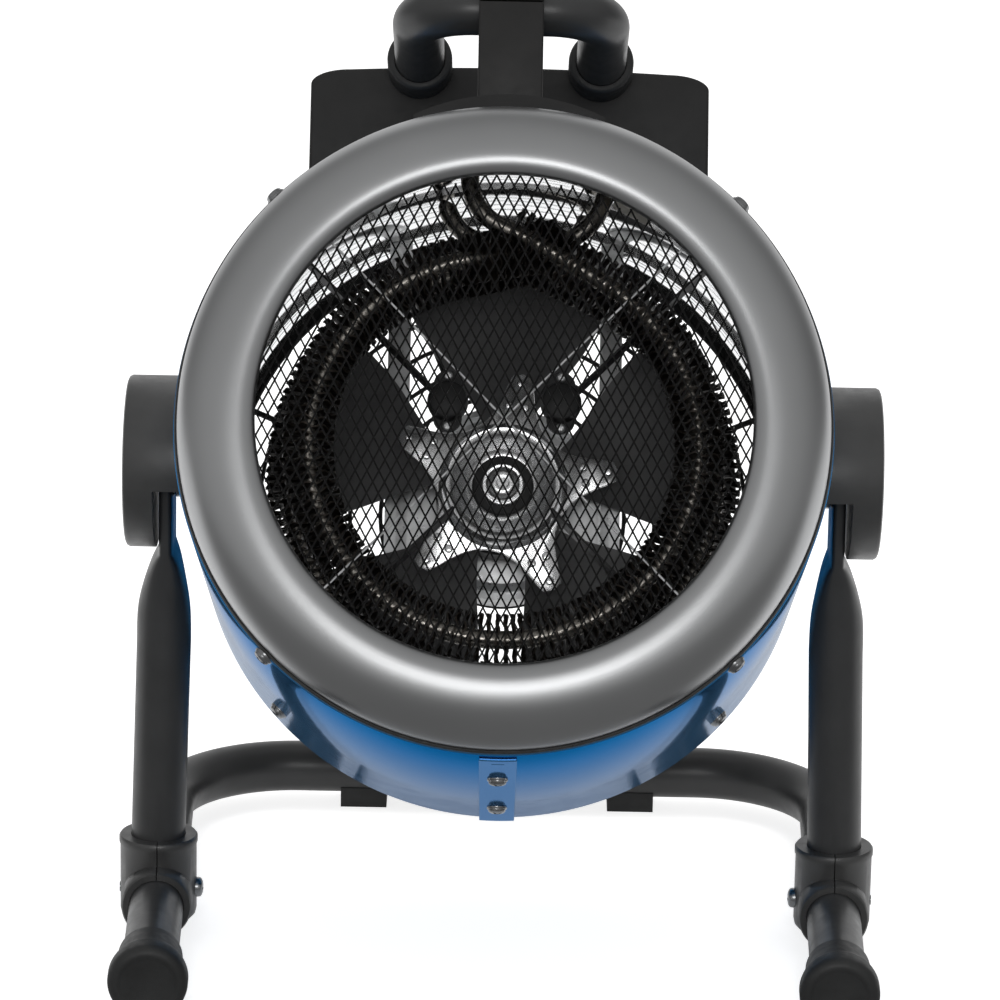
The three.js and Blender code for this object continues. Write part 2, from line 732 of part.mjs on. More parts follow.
// A spun ring: rolled inner lip, forward crest, a long curve back to the casing and a skirt inside it.
function bezel() {
  const outerR = BEZEL_R - BEZEL_CREST_R;
  const curve = (inset, lipSteps, steps) => {
    const points = [];
    for (let i = 0; i <= lipSteps; i++) {
      const a = (i / lipSteps) * QUARTER;
      const across = (BEZEL_LIP_W - inset) * Math.cos(a);
      const along = (BEZEL_LIP - BEZEL_CREST - inset) * Math.sin(a);
      points.push([BEZEL_CREST_R - across, BEZEL_LIP - along]);
    }
    for (let i = 1; i <= steps; i++) {
      const a = (1 - i / steps) * QUARTER;
      const across = (outerR - inset) * Math.cos(a);
      const along = (-BEZEL_CREST - inset) * Math.sin(a);
      points.push([BEZEL_CREST_R + across, -along]);
    }
    return points.map(([r, t]) => [r, at(t)]);
  };
  const outside = curve(0, 3, 7);
  const inside = curve(SHEET, 2, 3).reverse();
  const skirt = [
    [BEZEL_R, at(BEZEL_SKIRT_END)],
    [BEZEL_R - SHEET, at(BEZEL_SKIRT_END)],
  ];
  return cut(turned([...outside, ...skirt, ...inside], ROUND), frontHoles());
}

// A flat guard of slanted strands inside a rim, seated behind the bezel's lip.
function frontMesh() {
  const front = at(BEZEL_LIP + FIT);
  const back = front + MESH_T;
  const inner = BEZEL_INNER_R + MESH_INSET;
  const rimR = inner + MESH_RIM;
  const strands = [];
  const length = 2 * rimR + MESH_PITCH_Z;
  const lean = Math.atan(MESH_PITCH_X / MESH_PITCH_Z);
  const step = MESH_PITCH_X * Math.cos(lean);
  const count = Math.ceil(rimR / step);
  for (const way of [-1, 1]) {
    for (let i = -count; i <= count; i++) {
      const strand = box(-MESH_BAR / 2, MESH_BAR / 2, front, back, -length / 2, length / 2);
      strands.push(strand.translate(i * step, 0, 0).rotateY(way * lean));
    }
  }
  const net = common(join(strands), rod(inner + MESH_RIM / 2, front, back, 36));
  return join([net, ringBand(rimR, inner, front, back, 36)]);
}

// The bright inner cylinder that keeps the casing cool, with a flange at each end.
function heatShield() {
  const flangeR = CASING_IN_R - FIT - FACET_GAP;
  const inside = SHIELD_R - SHIELD_SHEET;
  return turned(
    [
      [inside, at(SHIELD_FRONT)],
      [flangeR, at(SHIELD_FRONT)],
      [flangeR, at(SHIELD_FRONT + SHIELD_SHEET)],
      [SHIELD_R, at(SHIELD_FRONT + SHIELD_SHEET)],
      [SHIELD_R, at(SHIELD_REAR - SHIELD_SHEET)],
      [flangeR, at(SHIELD_REAR - SHIELD_SHEET)],
      [flangeR, at(SHIELD_REAR)],
      [inside, at(SHIELD_REAR)],
    ],
    SHIELD_SIDES,
  );
}

// The rear guard: a band screwed inside the casing that carries rings on spokes.
function rearGuard() {
  const [front, back] = [at(GUARD_FACE - GUARD_FACE_T), at(GUARD_FACE)];
  const band = ringBand(GUARD_R, GUARD_R - SHEET, at(GUARD_FRONT), back, ROUND);
  const rim = ringBand(GUARD_R, GUARD_R - GUARD_RIM, at(GUARD_FACE - SHEET), back, ROUND);
  const pitch = (GUARD_R - GUARD_RIM) / (GUARD_RING_COUNT + 0.5);
  const wires = Array.from({ length: GUARD_RING_COUNT }, (_, i) => {
    const r = pitch * (i + 1);
    return ringBand(r + GUARD_WIRE / 2, r - GUARD_WIRE / 2, front, back, 24);
  });
  const reach = GUARD_R - GUARD_RIM / 2;
  const spokes = Array.from({ length: GUARD_SPOKES / 2 }, (_, i) => {
    const bar = box(-GUARD_WIRE, GUARD_WIRE, front, back - SHEET / 3, -reach, reach);
    return bar.rotateY((i * 2 * Math.PI) / GUARD_SPOKES);
  });
  return cut(join([band, rim, ...wires, ...spokes]), [...rearHoles(), ...seamHoles()]);
}

// ---------------------------------------------------------------- heater and fan

const STEPS_PER_FIN = 4;

// The middle line of an element: down one cold end, round the ring, and out of the other.
function elementPath(ring) {
  const up = SHIELD_IN_R - FIT;
  const y = at(ring.at);
  const place = (r, angle) => new THREE.Vector3(r * Math.sin(angle), y, r * Math.cos(angle));
  const turn = 7 * RAD;
  const coldEnd = (angle, way) => [
    place(up, angle),
    place(ring.r + COLD_BEND, angle),
    place(ring.r + COLD_BEND / 3, angle + (way * turn) / 3),
  ];
  const [first, last] = [-COLD_LEFT, COLD_RIGHT - 2 * Math.PI];
  const sweep = last - first + 2 * turn;
  const steps = FINS * STEPS_PER_FIN;
  const middle = Array.from({ length: steps + 1 }, (_, i) =>
    place(ring.r, first - turn + (sweep * i) / steps),
  );
  return [...coldEnd(first, -1), ...middle, ...coldEnd(last, 1).reverse()];
}

// A sheathed rod with fins standing round it.
function element(ring) {
  const path = elementPath(ring);
  const plain = 3; // path points in each cold end
  const depth = new THREE.Vector3(0, 1, 0);
  const rings = [];
  path.forEach((point, i) => {
    const before = path[Math.max(i - 1, 0)];
    const after = path[Math.min(i + 1, path.length - 1)];
    const forward = new THREE.Vector3().subVectors(after, before).normalize();
    const step = i - plain;
    const cold = step < 0 || i >= path.length - plain - 1;
    const section = (offset, radius) => {
      const centre = point.clone().addScaledVector(forward, offset);
      rings.push(crossRing(centre, forward, radius, ELEMENT_SIDES, depth));
    };
    if (cold || step % STEPS_PER_FIN === 0) section(0, ROD_R);
    else if (step % STEPS_PER_FIN === STEPS_PER_FIN / 2) {
      section(-FIN_T / 2, ROD_R);
      section(-FIN_T / 2, FIN_R);
      section(FIN_T / 2, FIN_R);
      section(FIN_T / 2, ROD_R);
    }
  });
  return skin(rings);
}

// Four upright strips in a cross, with a tab forward to the front ring and one back to the rear ring.
function elementSupport() {
  const reach = SHIELD_IN_R - FIT;
  const frontTab = at(FRONT_RING.at + FIN_R + FIT);
  const rearTab = at(REAR_RING.at - FIN_R - FIT);
  const outline = [
    [at(STRIP_FRONT), 0],
    [at(STRIP_FRONT), FRONT_RING.r - TAB_HALF],
    [frontTab, FRONT_RING.r - TAB_HALF],
    [frontTab, FRONT_RING.r + TAB_HALF],
    [at(STRIP_FRONT), FRONT_RING.r + TAB_HALF],
    [at(STRIP_FRONT), reach],
    [at(STRIP_REAR), reach],
    [at(STRIP_REAR), REAR_RING.r + TAB_HALF],
    [rearTab, REAR_RING.r + TAB_HALF],
    [rearTab, REAR_RING.r - TAB_HALF],
    [at(STRIP_REAR), REAR_RING.r - TAB_HALF],
    [at(STRIP_REAR), 0],
  ];
  const arms = CORNERS.map((angle) => toAngle(sidePrism(outline, -STRIP_T / 2, STRIP_T / 2), angle));
  return join([...arms, rod(STRIP_HUB_R, at(STRIP_FRONT), at(STRIP_REAR), 12)]);
}

// A ceramic block round the right cold end of the front ring, against the heat shield.
function terminalBlock() {
  const top = SHIELD_IN_R - 2 * FIT;
  const middle = at(FRONT_RING.at);
  const block = box(
    -BLOCK_W / 2,
    BLOCK_W / 2,
    middle - BLOCK_D / 2,
    middle + BLOCK_D / 2,
    top - BLOCK_H,
    top,
  );
  const bore = rod(ROD_R + 2 * FIT, top - 2 * BLOCK_H, top + BLOCK_H, 16)
    .rotateX(QUARTER)
    .translate(0, middle, 0);
  return toAngle(cut(block, [bore]), COLD_RIGHT);
}

// A thermal cut-out: a can on an eared plate, on the front edge of an upper strip.
function thermalCutout(sign) {
  const seat = at(STRIP_FRONT) - FIT;
  const half = CUTOUT_CAN_R * 0.6;
  const plate = box(-half, half, seat - CUTOUT_PLATE_T, seat, -CUTOUT_EAR, CUTOUT_EAR);
  const can = rod(CUTOUT_CAN_R, seat - CUTOUT_CAN, seat, 20);
  return join([plate, can]).translate(sign * CUTOUT_X, 0, CUTOUT_H);
}

// A pitched blade, narrower at its root.
function blade(angle) {
  const radial = 3;
  const chord = 4;
  const root = FAN_HUB_R - BLADE_ROOT;
  const rings = [];
  for (let i = 0; i <= radial; i++) {
    const r = root + ((FAN_R - root) * i) / radial;
    const share = i === 0 ? 0.7 : 1;
    const face = (side) =>
      Array.from({ length: chord + 1 }, (_, j) => {
        const w = share * ((2 * j) / chord - 1);
        const a = angle + w * BLADE_HALF;
        const y = at(FAN_MID) + w * BLADE_RISE + (side * BLADE_T) / 2;
        return new THREE.Vector3(r * Math.sin(a), y, r * Math.cos(a));
      });
    rings.push([...face(-1), ...face(1).reverse()]);
  }
  return skin(rings);
}

function fanWheel() {
  const blades = Array.from({ length: BLADES }, (_, i) => blade((2 * Math.PI * i) / BLADES));
  const hub = ringBand(FAN_HUB_R, SHAFT_R + FIT, at(FAN_HUB_FRONT), at(FAN_HUB_REAR), 36);
  const bore = rod(SHAFT_R + FIT, at(FAN_HUB_FRONT - FAN_HUB_LEN), at(FAN_HUB_REAR + FAN_HUB_LEN), 16);
  return cut(join([hub, ...blades]), [bore]);
}

// A dished bright cap in front of the hub, with a domed centre.
function hubCap() {
  const back = FAN_HUB_FRONT - FIT;
  return turned(
    [
      [0, at(HUB_CAP_FRONT - HUB_CAP_DOME)],
      [HUB_CAP_R * 0.28, at(HUB_CAP_FRONT - HUB_CAP_DOME * 0.6)],
      [HUB_CAP_R * 0.45, at(HUB_CAP_FRONT + EDGE)],
      [HUB_CAP_R * 0.73, at(HUB_CAP_FRONT + EDGE)],
      [HUB_CAP_R * 0.88, at(HUB_CAP_FRONT)],
      [HUB_CAP_R, at(HUB_CAP_FRONT + EDGE)],
      [HUB_CAP_R, at(back)],
      [SHAFT_R + FIT, at(back)],
      [SHAFT_R + FIT, at(back - HUB_CAP_GRIP)],
      [0, at(back - HUB_CAP_GRIP)],
    ],
    24,
  );
}

function motorShaft() {
  const front = FAN_HUB_FRONT - HUB_CAP_GRIP;
  return rod(SHAFT_R, at(front), at(BRACKET_AT + BRACKET_T + SHAFT_IN_MOTOR), 16);
}

// The shaded-pole motor behind its bracket, stepped down to a bearing cover that the shaft enters.
function motorBody() {
  const front = at(BRACKET_AT + BRACKET_T + FIT);
  const rear = front + MOTOR_LEN;
  const bearing = front + SHAFT_IN_MOTOR + EDGE;
  const profile = [
    [0, bearing],
    [SHAFT_R + FIT, bearing],
    [SHAFT_R + FIT, front],
    [MOTOR_R - MOTOR_STEP, front],
    [MOTOR_R, front + MOTOR_STEP],
    [MOTOR_R, rear - MOTOR_STEP],
    [MOTOR_R - 2 * MOTOR_STEP, rear],
    [0, rear],
  ];
  return turned(profile, 24);
}

// Two upright bars between the casing's top and bottom, joined by the plate that holds the motor.
function motorBracket() {
  const [front, back] = [at(BRACKET_AT), at(BRACKET_AT + BRACKET_T)];
  const edge = (GUARD_R - SHEET) * Math.cos(Math.PI / ROUND) - FIT;
  const reach = Math.sqrt(edge ** 2 - (BRACKET_X + BRACKET_W / 2) ** 2);
  const bars = SIDES.map(({ sign }) => {
    const x = sign * BRACKET_X;
    return box(x - BRACKET_W / 2, x + BRACKET_W / 2, front, back, -reach, reach);
  });
  const plate = box(-BRACKET_X, BRACKET_X, front, back, -BRACKET_PLATE_H, BRACKET_PLATE_H);
  const hole = rod(SHAFT_R * 2, front - BRACKET_T, back + BRACKET_T, 20);
  return cut(join([plate, ...bars]), [hole]);
}

// ---------------------------------------------------------------- hinges

// The space that a leg's flattened top sweeps inside a housing, as [y, z] points.
function slotOutline() {
  const half = LEG_FLAT_HALF_W + SLOT_EDGE_GAP;
  const far = HOUSING_R * 1.6;
  const down = (a) => [-Math.cos(a), -Math.sin(a)];
  const [fromY, fromZ] = down(SLOT_FROM);
  const [toY, toZ] = down(SLOT_TO);
  const frontEdge = [-half * Math.sin(SLOT_FROM), half * Math.cos(SLOT_FROM)];
  const rearEdge = [half * Math.sin(SLOT_TO), -half * Math.cos(SLOT_TO)];
  const startAngle = Math.atan2(rearEdge[1], rearEdge[0]);
  const endAngle = Math.atan2(frontEdge[1], frontEdge[0]);
  return [
    ...arc(half, startAngle, endAngle, 10),
    [frontEdge[0] + far * fromY, frontEdge[1] + far * fromZ],
    [0, -far * 1.2],
    [rearEdge[0] + far * toY, rearEdge[1] + far * toZ],
  ];
}

function hingeHousing(sign) {
  const inner = DRUM_R - HOUSING_R / 2;
  const profile = [
    [0, inner],
    [HOUSING_R, inner],
    [HOUSING_R, HOUSING_X - EDGE],
    [HOUSING_R - EDGE, HOUSING_X],
    [0, HOUSING_X],
  ];
  const seat = rod(SEAT_R, -2 * HOUSING_R, 2 * HOUSING_R, ROUND);
  const body = turned(profile, 32).rotateZ(-QUARTER);
  const past = HOUSING_X + EDGE;
  const recess = rod(BOLT_HEAD_R + FIT, HOUSING_X - BOLT_RECESS, past, 16).rotateZ(-QUARTER);
  const bore = rod(BOLT_R + FIT, inner - EDGE, past, 12).rotateZ(-QUARTER);
  const slot = sidePrism(slotOutline(), inner - EDGE, SLOT_X);
  const housing = cut(body, [slot, recess, bore, seat]);
  return sign > 0 ? housing : mirrored(housing);
}

// Reflects a geometry in the plane x = 0.
function mirrored(geometry) {
  return facingOut(mergeVertices(geometry.clone().scale(-1, 1, 1)));
}

function pivotBolt(sign) {
  const head = HOUSING_X - BOLT_RECESS + FIT;
  const bolt = turned(
    [
      [0, SHIELD_R + BOLT_END_GAP],
      [BOLT_R, SHIELD_R + BOLT_END_GAP],
      [BOLT_R, head],
      [BOLT_HEAD_R, head],
      [BOLT_HEAD_R, head + BOLT_HEAD * 0.7],
      [BOLT_HEAD_R * 0.75, head + BOLT_HEAD],
      [0, head + BOLT_HEAD],
    ],
    12,
  );
  return bolt.rotateZ(-sign * QUARTER);
}

function frictionWasher(sign) {
  const washer = ringBand(WASHER_R, BOLT_R + FIT, SEAT_R, SEAT_R + WASHER_T, 16);
  return washer.rotateZ(-sign * QUARTER);
}

// ---------------------------------------------------------------- handle

function handleTube() {
  const rear = BOX_FRONT - FIT - PLUG_END_WALL - FIT;
  const corners = [
    new THREE.Vector3(-HANDLE_HALF_W, at(rear), HANDLE_H),
    new THREE.Vector3(-HANDLE_HALF_W, at(HANDLE_FRONT), HANDLE_H),
    new THREE.Vector3(HANDLE_HALF_W, at(HANDLE_FRONT), HANDLE_H),
    new THREE.Vector3(HANDLE_HALF_W, at(rear), HANDLE_H),
  ];
  const path = roundedPath(corners, HANDLE_BEND_R, 5);
  return tube(path, HANDLE_R, HANDLE_WALL, TUBE_SIDES, new THREE.Vector3(0, 0, 1));
}

// A cap over a handle end, seated on the front of the control box.
function handlePlug(sign) {
  const rear = BOX_FRONT - FIT;
  const inner = HANDLE_R + FIT;
  return turned(
    [
      [inner, at(rear - PLUG_LEN)],
      [PLUG_R - EDGE, at(rear - PLUG_LEN)],
      [PLUG_R, at(rear - PLUG_LEN + EDGE)],
      [PLUG_R, at(rear - 1)],
      [PLUG_R - 1, at(rear)],
      [0, at(rear)],
      [0, at(rear - PLUG_END_WALL)],
      [inner, at(rear - PLUG_END_WALL)],
      [inner, at(rear - PLUG_LEN)],
    ],
    20,
  ).translate(sign * HANDLE_HALF_W, 0, HANDLE_H);
}

function handleBore() {
  return rod(HANDLE_R + FIT, -POST_W, POST_W, 28)
    .rotateZ(QUARTER)
    .translate(0, at(HANDLE_FRONT), HANDLE_H);
}

// The post from the saddle to the middle of the grip, cradling the lower half of the tube.
function handlePost() {
  const foot = DRUM_R + SADDLE_CROWN + FIT;
  const middle = at(HANDLE_FRONT);
  const [halfW, halfD] = [POST_W / 2, POST_D / 2];
  const post = box(-halfW, halfW, middle - halfD, middle + halfD, foot, HANDLE_H - FIT / 2);
  return cut(post, [handleBore()]);
}

// The cap that closes the clamp over the tube.
function handleClamp() {
  const middle = at(HANDLE_FRONT);
  const top = HANDLE_H + HANDLE_R + CLAMP_TOP;
  const low = HANDLE_H + FIT / 2;
  const half = POST_D / 2;
  const outline = [
    [middle - half, low],
    [middle + half, low],
    [middle + half, top - CLAMP_EDGE_H],
    [middle + half - CLAMP_EDGE_W, top],
    [middle - half + CLAMP_EDGE_W, top],
    [middle - half, top - CLAMP_EDGE_H],
  ];
  return cut(sidePrism(outline, -POST_W / 2, POST_W / 2), [handleBore()]);
}

// A crowned foot that follows the casing.
function handleSaddle() {
  const edgeAngle = Math.asin(SADDLE_HALF_W / SEAT_R);
  const under = arc(SEAT_R, QUARTER + edgeAngle, QUARTER - edgeAngle, 8);
  const edgeH = SEAT_R * Math.cos(edgeAngle) + SADDLE_EDGE;
  const crownH = DRUM_R + SADDLE_CROWN;
  const rise = crownH - edgeH;
  const crownR = (SADDLE_HALF_W ** 2 + rise ** 2) / (2 * rise);
  const sweep = Math.asin(SADDLE_HALF_W / crownR);
  const over = arc(crownR, QUARTER - sweep, QUARTER + sweep, 10);
  const lifted = over.map(([x, z]) => [x, z + crownH - crownR]);
  const middle = at(HANDLE_FRONT);
  const [halfW, halfD] = [POST_W / 2, POST_D / 2];
  const pad = box(-halfW, halfW, middle - halfD, middle + halfD, crownH - SADDLE_EDGE, crownH);
  const foot = prism([...under, ...lifted], middle - SADDLE_D / 2, middle + SADDLE_D / 2);
  return join([foot, pad]);
}

// ---------------------------------------------------------------- control box

// The box's section: it sits on the casing and has a slightly arched top, as [x, z] points.
function boxOutline(inset) {
  const half = BOX_HALF_W - inset;
  const seat = SEAT_R + inset;
  const edge = Math.asin(half / seat);
  const bottom = arc(seat, QUARTER + edge, QUARTER - edge, 16);
  const corner = (sign) => {
    const points = [];
    for (let i = 0; i <= 5; i++) {
      const a = (i / 5) * QUARTER;
      const x = half - (BOX_CORNER_W - inset) * (1 - Math.cos(a));
      const z = BOX_TOP - inset - BOX_ARCH - (BOX_CORNER_H - inset) * (1 - Math.sin(a));
      points.push([sign * x, z]);
    }
    return points;
  };
  return [...bottom, ...corner(1), [0, BOX_TOP - inset], ...corner(-1).reverse()];
}

function controlBox() {
  const outer = prism(boxOutline(0), at(BOX_FRONT), at(BOX_REAR));
  const hollow = prism(boxOutline(BOX_WALL), at(BOX_FRONT + BOX_WALL), at(BOX_REAR + BOX_WALL));
  return cut(outer, [hollow]);
}

const place = (geometry, spot) => geometry.translate(spot.x, 0, DRUM_R + spot.rise);

function controlPanel() {
  const plate = prism(boxOutline(0), at(PANEL_BACK), at(PANEL_FACE));
  const hole = (spot, radius) =>
    place(rod(radius + FIT, at(PANEL_BACK - PANEL_T), at(PANEL_FACE + PANEL_T), 12), spot);
  return cut(plate, [
    hole(SELECTOR, SPINDLE_R),
    hole(THERMOSTAT, SPINDLE_R),
    hole(LAMP, LAMP_R),
    hole(RESET, RESET_R),
    hole(GLAND, GLAND_R - GLAND_FLANGE),
  ]);
}

// A switch or thermostat: a moulded block behind the panel.
function controlBody(spot) {
  const rear = PANEL_BACK - FIT;
  const half = SWITCH_W / 2;
  const halfHigh = Math.min(half, spot.rise - BOX_WALL - EDGE);
  const block = box(-half, half, at(rear - SWITCH_D), at(rear), -halfHigh, halfHigh);
  const bore = rod(SPINDLE_R + FIT, at(rear - SPINDLE_LEN - EDGE), at(rear + EDGE), 16);
  return place(cut(block, [bore]), spot);
}

// A pointer knob with its spindle.
function knob(spot) {
  const face = PANEL_FACE + FIT;
  const top = face + KNOB_H - KNOB_BAR_RISE;
  const body = turned(
    [
      [0, at(PANEL_BACK - SPINDLE_LEN)],
      [SPINDLE_R, at(PANEL_BACK - SPINDLE_LEN)],
      [SPINDLE_R, at(face)],
      [KNOB_R, at(face)],
      [KNOB_R, at(face + KNOB_SKIRT)],
      [KNOB_R - 2 * EDGE, at(face + KNOB_SKIRT + EDGE)],
      [KNOB_R - 2 * EDGE, at(top - EDGE)],
      [KNOB_R - 3 * EDGE, at(top)],
      [0, at(top)],
    ],
    20,
  );
  const half = KNOB_BAR / 2;
  const [low, high] = [3 * EDGE - KNOB_R, KNOB_R - EDGE];
  const bar = box(-half, half, at(face + KNOB_SKIRT / 2), at(face + KNOB_H), low, high);
  return place(join([body, bar]), spot);
}

function powerLamp() {
  return place(
    turned(
      [
        [0, at(PANEL_BACK - LAMP_LEN)],
        [LAMP_R, at(PANEL_BACK - LAMP_LEN)],
        [LAMP_R, at(PANEL_FACE + FIT)],
        [LAMP_R + LAMP_FLANGE, at(PANEL_FACE + FIT)],
        [LAMP_R + LAMP_FLANGE * 0.7, at(PANEL_FACE + LAMP_DOME * 0.5)],
        [LAMP_R * 0.6, at(PANEL_FACE + LAMP_DOME * 0.85)],
        [0, at(PANEL_FACE + LAMP_DOME)],
      ],
      14,
    ),
    LAMP,
  );
}

// A sprung button whose inner flange keeps it behind the panel.
function resetButton() {
  const stop = PANEL_BACK - FIT;
  return place(
    turned(
      [
        [0, at(stop - RESET_FLANGE)],
        [RESET_R + RESET_FLANGE, at(stop - RESET_FLANGE)],
        [RESET_R + RESET_FLANGE, at(stop)],
        [RESET_R, at(stop)],
        [RESET_R, at(PANEL_FACE + RESET_H - EDGE / 2)],
        [RESET_R - EDGE / 2, at(PANEL_FACE + RESET_H)],
        [0, at(PANEL_FACE + RESET_H)],
      ],
      14,
    ),
    RESET,
  );
}

// The mains inlet: a domed gland with an open bore.
function cableGland() {
  const neck = GLAND_R - GLAND_FLANGE;
  const body = turned(
    [
      [GLAND_BORE, at(PANEL_BACK - GLAND_IN)],
      [neck, at(PANEL_BACK - GLAND_IN)],
      [neck, at(PANEL_FACE + FIT)],
      [GLAND_R, at(PANEL_FACE + FIT)],
      [GLAND_R, at(PANEL_FACE + GLAND_OUT * 0.55)],
      [GLAND_R - EDGE, at(PANEL_FACE + GLAND_OUT * 0.8)],
      [GLAND_BORE + EDGE, at(PANEL_FACE + GLAND_OUT)],
      [GLAND_BORE, at(PANEL_FACE + GLAND_OUT)],
    ],
    16,
  );
  return place(body, GLAND);
}

function buildFan() {
  const fan = new THREE.Group();
  fan.add(piece("fan_wheel", fanWheel(), BLACK_METAL));
  fan.add(piece("fan_hub_cap", hubCap(), BRIGHT_METAL));
  fan.add(piece("motor_shaft", motorShaft(), ZINC));
  return fan;
}

function buildControls() {
  const controls = new THREE.Group();
  controls.add(piece("control_box", controlBox(), BLACK_PLASTIC));
  controls.add(piece("control_panel", controlPanel(), BLACK_PLASTIC));
  controls.add(piece("selector_switch", controlBody(SELECTOR), BLACK_PLASTIC));
  controls.add(piece("thermostat_body", controlBody(THERMOSTAT), ZINC));
  controls.add(piece("selector_knob", knob(SELECTOR), BLACK_PLASTIC));
  controls.add(piece("thermostat_knob", knob(THERMOSTAT), BLACK_PLASTIC));
  controls.add(piece("power_lamp", powerLamp(), LAMP_RED));
  controls.add(piece("reset_button", resetButton(), BUTTON_RED));
  controls.add(piece("cable_gland", cableGland(), BLACK_PLASTIC));
  return controls;
}

function buildHandle() {
  const handle = new THREE.Group();
  handle.add(piece("handle_saddle", handleSaddle(), BLACK_PLASTIC));
  handle.add(piece("handle_post", handlePost(), BLACK_PLASTIC));
  handle.add(piece("handle_clamp", handleClamp(), BLACK_PLASTIC));
  handle.add(piece("handle_tube", handleTube(), BLACK_TUBE));
  for (const { tag, sign } of SIDES) {
    handle.add(piece(`handle_plug_${tag}`, handlePlug(sign), RUBBER));
  }
  return handle;
}

function buildShell() {
  const shell = new THREE.Group();
  shell.add(piece("drum_casing", casing(), BLUE_PAINT));
  shell.add(piece("seam_strap", seamStrap(), BLUE_PAINT));
  shell.add(piece("front_bezel", bezel(), BRIGHT_METAL));
  shell.add(piece("front_mesh", frontMesh(), BLACK_METAL));
  shell.add(piece("heat_shield", heatShield(), BRIGHT_METAL));
  shell.add(piece("rear_guard", rearGuard(), BLACK_METAL));
  CORNERS.forEach((angle, i) => {
    shell.add(piece(`bezel_screw_${i + 1}`, radialScrew(angle, FRONT_SCREW_AT, DRUM_R), ZINC));
  });
  LOWER_CORNERS.forEach((angle, i) => {
    shell.add(piece(`guard_screw_${i + 1}`, radialScrew(angle, REAR_SCREW_AT, DRUM_R), ZINC));
  });
  SEAM_SCREWS.forEach((along, i) => {
    const seat = SEAT_R + STRAP_T;
    shell.add(piece(`seam_screw_${i + 1}`, radialScrew(BOTTOM, along, seat), ZINC));
  });
  return shell;
}

function buildInside() {
  const inside = new THREE.Group();
  inside.add(piece("element_front", element(FRONT_RING), BRIGHT_METAL));
  inside.add(piece("element_rear", element(REAR_RING), BRIGHT_METAL));
  inside.add(piece("element_support", elementSupport(), ZINC));
  inside.add(piece("terminal_block", terminalBlock(), CERAMIC));
  inside.add(piece("motor_body", motorBody(), ZINC));
  inside.add(piece("motor_bracket", motorBracket(), ZINC));
  for (const { tag, sign } of SIDES) {
    inside.add(piece(`thermal_cutout_${tag}`, thermalCutout(sign), ZINC));
  }
  return inside;
}

function buildHinges() {
  const hinges = new THREE.Group();
  for (const { tag, sign } of SIDES) {
    hinges.add(piece(`hinge_housing_${tag}`, hingeHousing(sign), BLACK_PLASTIC));
    hinges.add(piece(`pivot_bolt_${tag}`, pivotBolt(sign), ZINC));
    hinges.add(piece(`friction_washer_${tag}`, frictionWasher(sign), ZINC));
  }
  return hinges;
}

// ---------------------------------------------------------------- the heater

const drum = new THREE.Group();
drum.add(buildShell(), buildInside(), buildFan(), buildHinges(), buildHandle(), buildControls());
drum.rotation.x = -REST_TILT;

const heater = new THREE.Group();
heater.add(buildStand(), drum);
heater.position.z = PIVOT_Z;
const bounds = new THREE.Box3().setFromObject(heater, true);
heater.position.y = -(bounds.min.y + bounds.max.y) / 2;

export default heater;
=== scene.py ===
# Looks for the forced air heater: finer pieces, materials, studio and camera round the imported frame.
import math

import bmesh
import bpy
from mathutils import Matrix, Vector


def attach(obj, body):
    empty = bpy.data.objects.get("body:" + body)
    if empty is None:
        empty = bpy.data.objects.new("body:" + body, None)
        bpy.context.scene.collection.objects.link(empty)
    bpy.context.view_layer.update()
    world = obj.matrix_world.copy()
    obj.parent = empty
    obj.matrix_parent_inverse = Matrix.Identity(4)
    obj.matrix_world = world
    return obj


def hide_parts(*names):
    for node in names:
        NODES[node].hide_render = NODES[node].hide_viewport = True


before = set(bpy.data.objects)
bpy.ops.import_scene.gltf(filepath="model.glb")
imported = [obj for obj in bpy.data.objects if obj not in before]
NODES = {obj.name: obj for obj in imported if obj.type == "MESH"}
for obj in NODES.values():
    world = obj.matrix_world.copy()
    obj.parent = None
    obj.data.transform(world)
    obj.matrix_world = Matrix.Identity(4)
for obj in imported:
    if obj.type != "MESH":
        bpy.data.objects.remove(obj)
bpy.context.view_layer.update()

# ---------------------------------------------------------------- places, in millimetres

REST_TILT = math.radians(26.65)
PIVOT = (0.0, -21.858, 190.05)
PIVOT_BACK = 82.8
BASE_H = -174.7
CASING_R, SHEET = 124.4, 1.2
PIVOT_BORE, TUBE_R, GRIP_R = 4.3, 10.7, 10
BEZEL_R = 122.9
SHIELD_R = 116.0
CORNERS = [math.radians(d) for d in (45, 135, 225, 315)]
TURN = 2 * math.pi

MM = Matrix.Scale(0.001, 4)
STAND = MM @ Matrix.Translation(PIVOT)
DRUM = STAND @ Matrix.Rotation(-REST_TILT, 4, "X")


def at(t):
    """Place along the drum's axis, from the distance behind its front plane."""
    return t - PIVOT_BACK


def polar(r, a, y):
    """A point at radius r and angle a from the top, round the drum's axis."""
    return (r * math.sin(a), y, r * math.cos(a))


def along(pairs):
    """A profile for lathe, from (radius, distance behind the front plane) pairs."""
    return [(r, at(t)) for r, t in pairs]


# ---------------------------------------------------------------- camera

def make_camera():
    cam = bpy.data.cameras.new("camera")
    cam.sensor_width = 36
    cam.lens = 178.9
    cam.clip_end = 30
    obj = bpy.data.objects.new("camera", cam)
    bpy.context.scene.collection.objects.link(obj)
    pitch = Matrix.Rotation(math.radians(90 - 16), 4, "X")
    roll = Matrix.Rotation(math.radians(1.05), 4, "Z")
    obj.matrix_world = Matrix.Translation((-0.0010, -1.8951, 0.7138)) @ pitch @ roll
    bpy.context.scene.camera = obj


make_camera()

# ---------------------------------------------------------------- materials


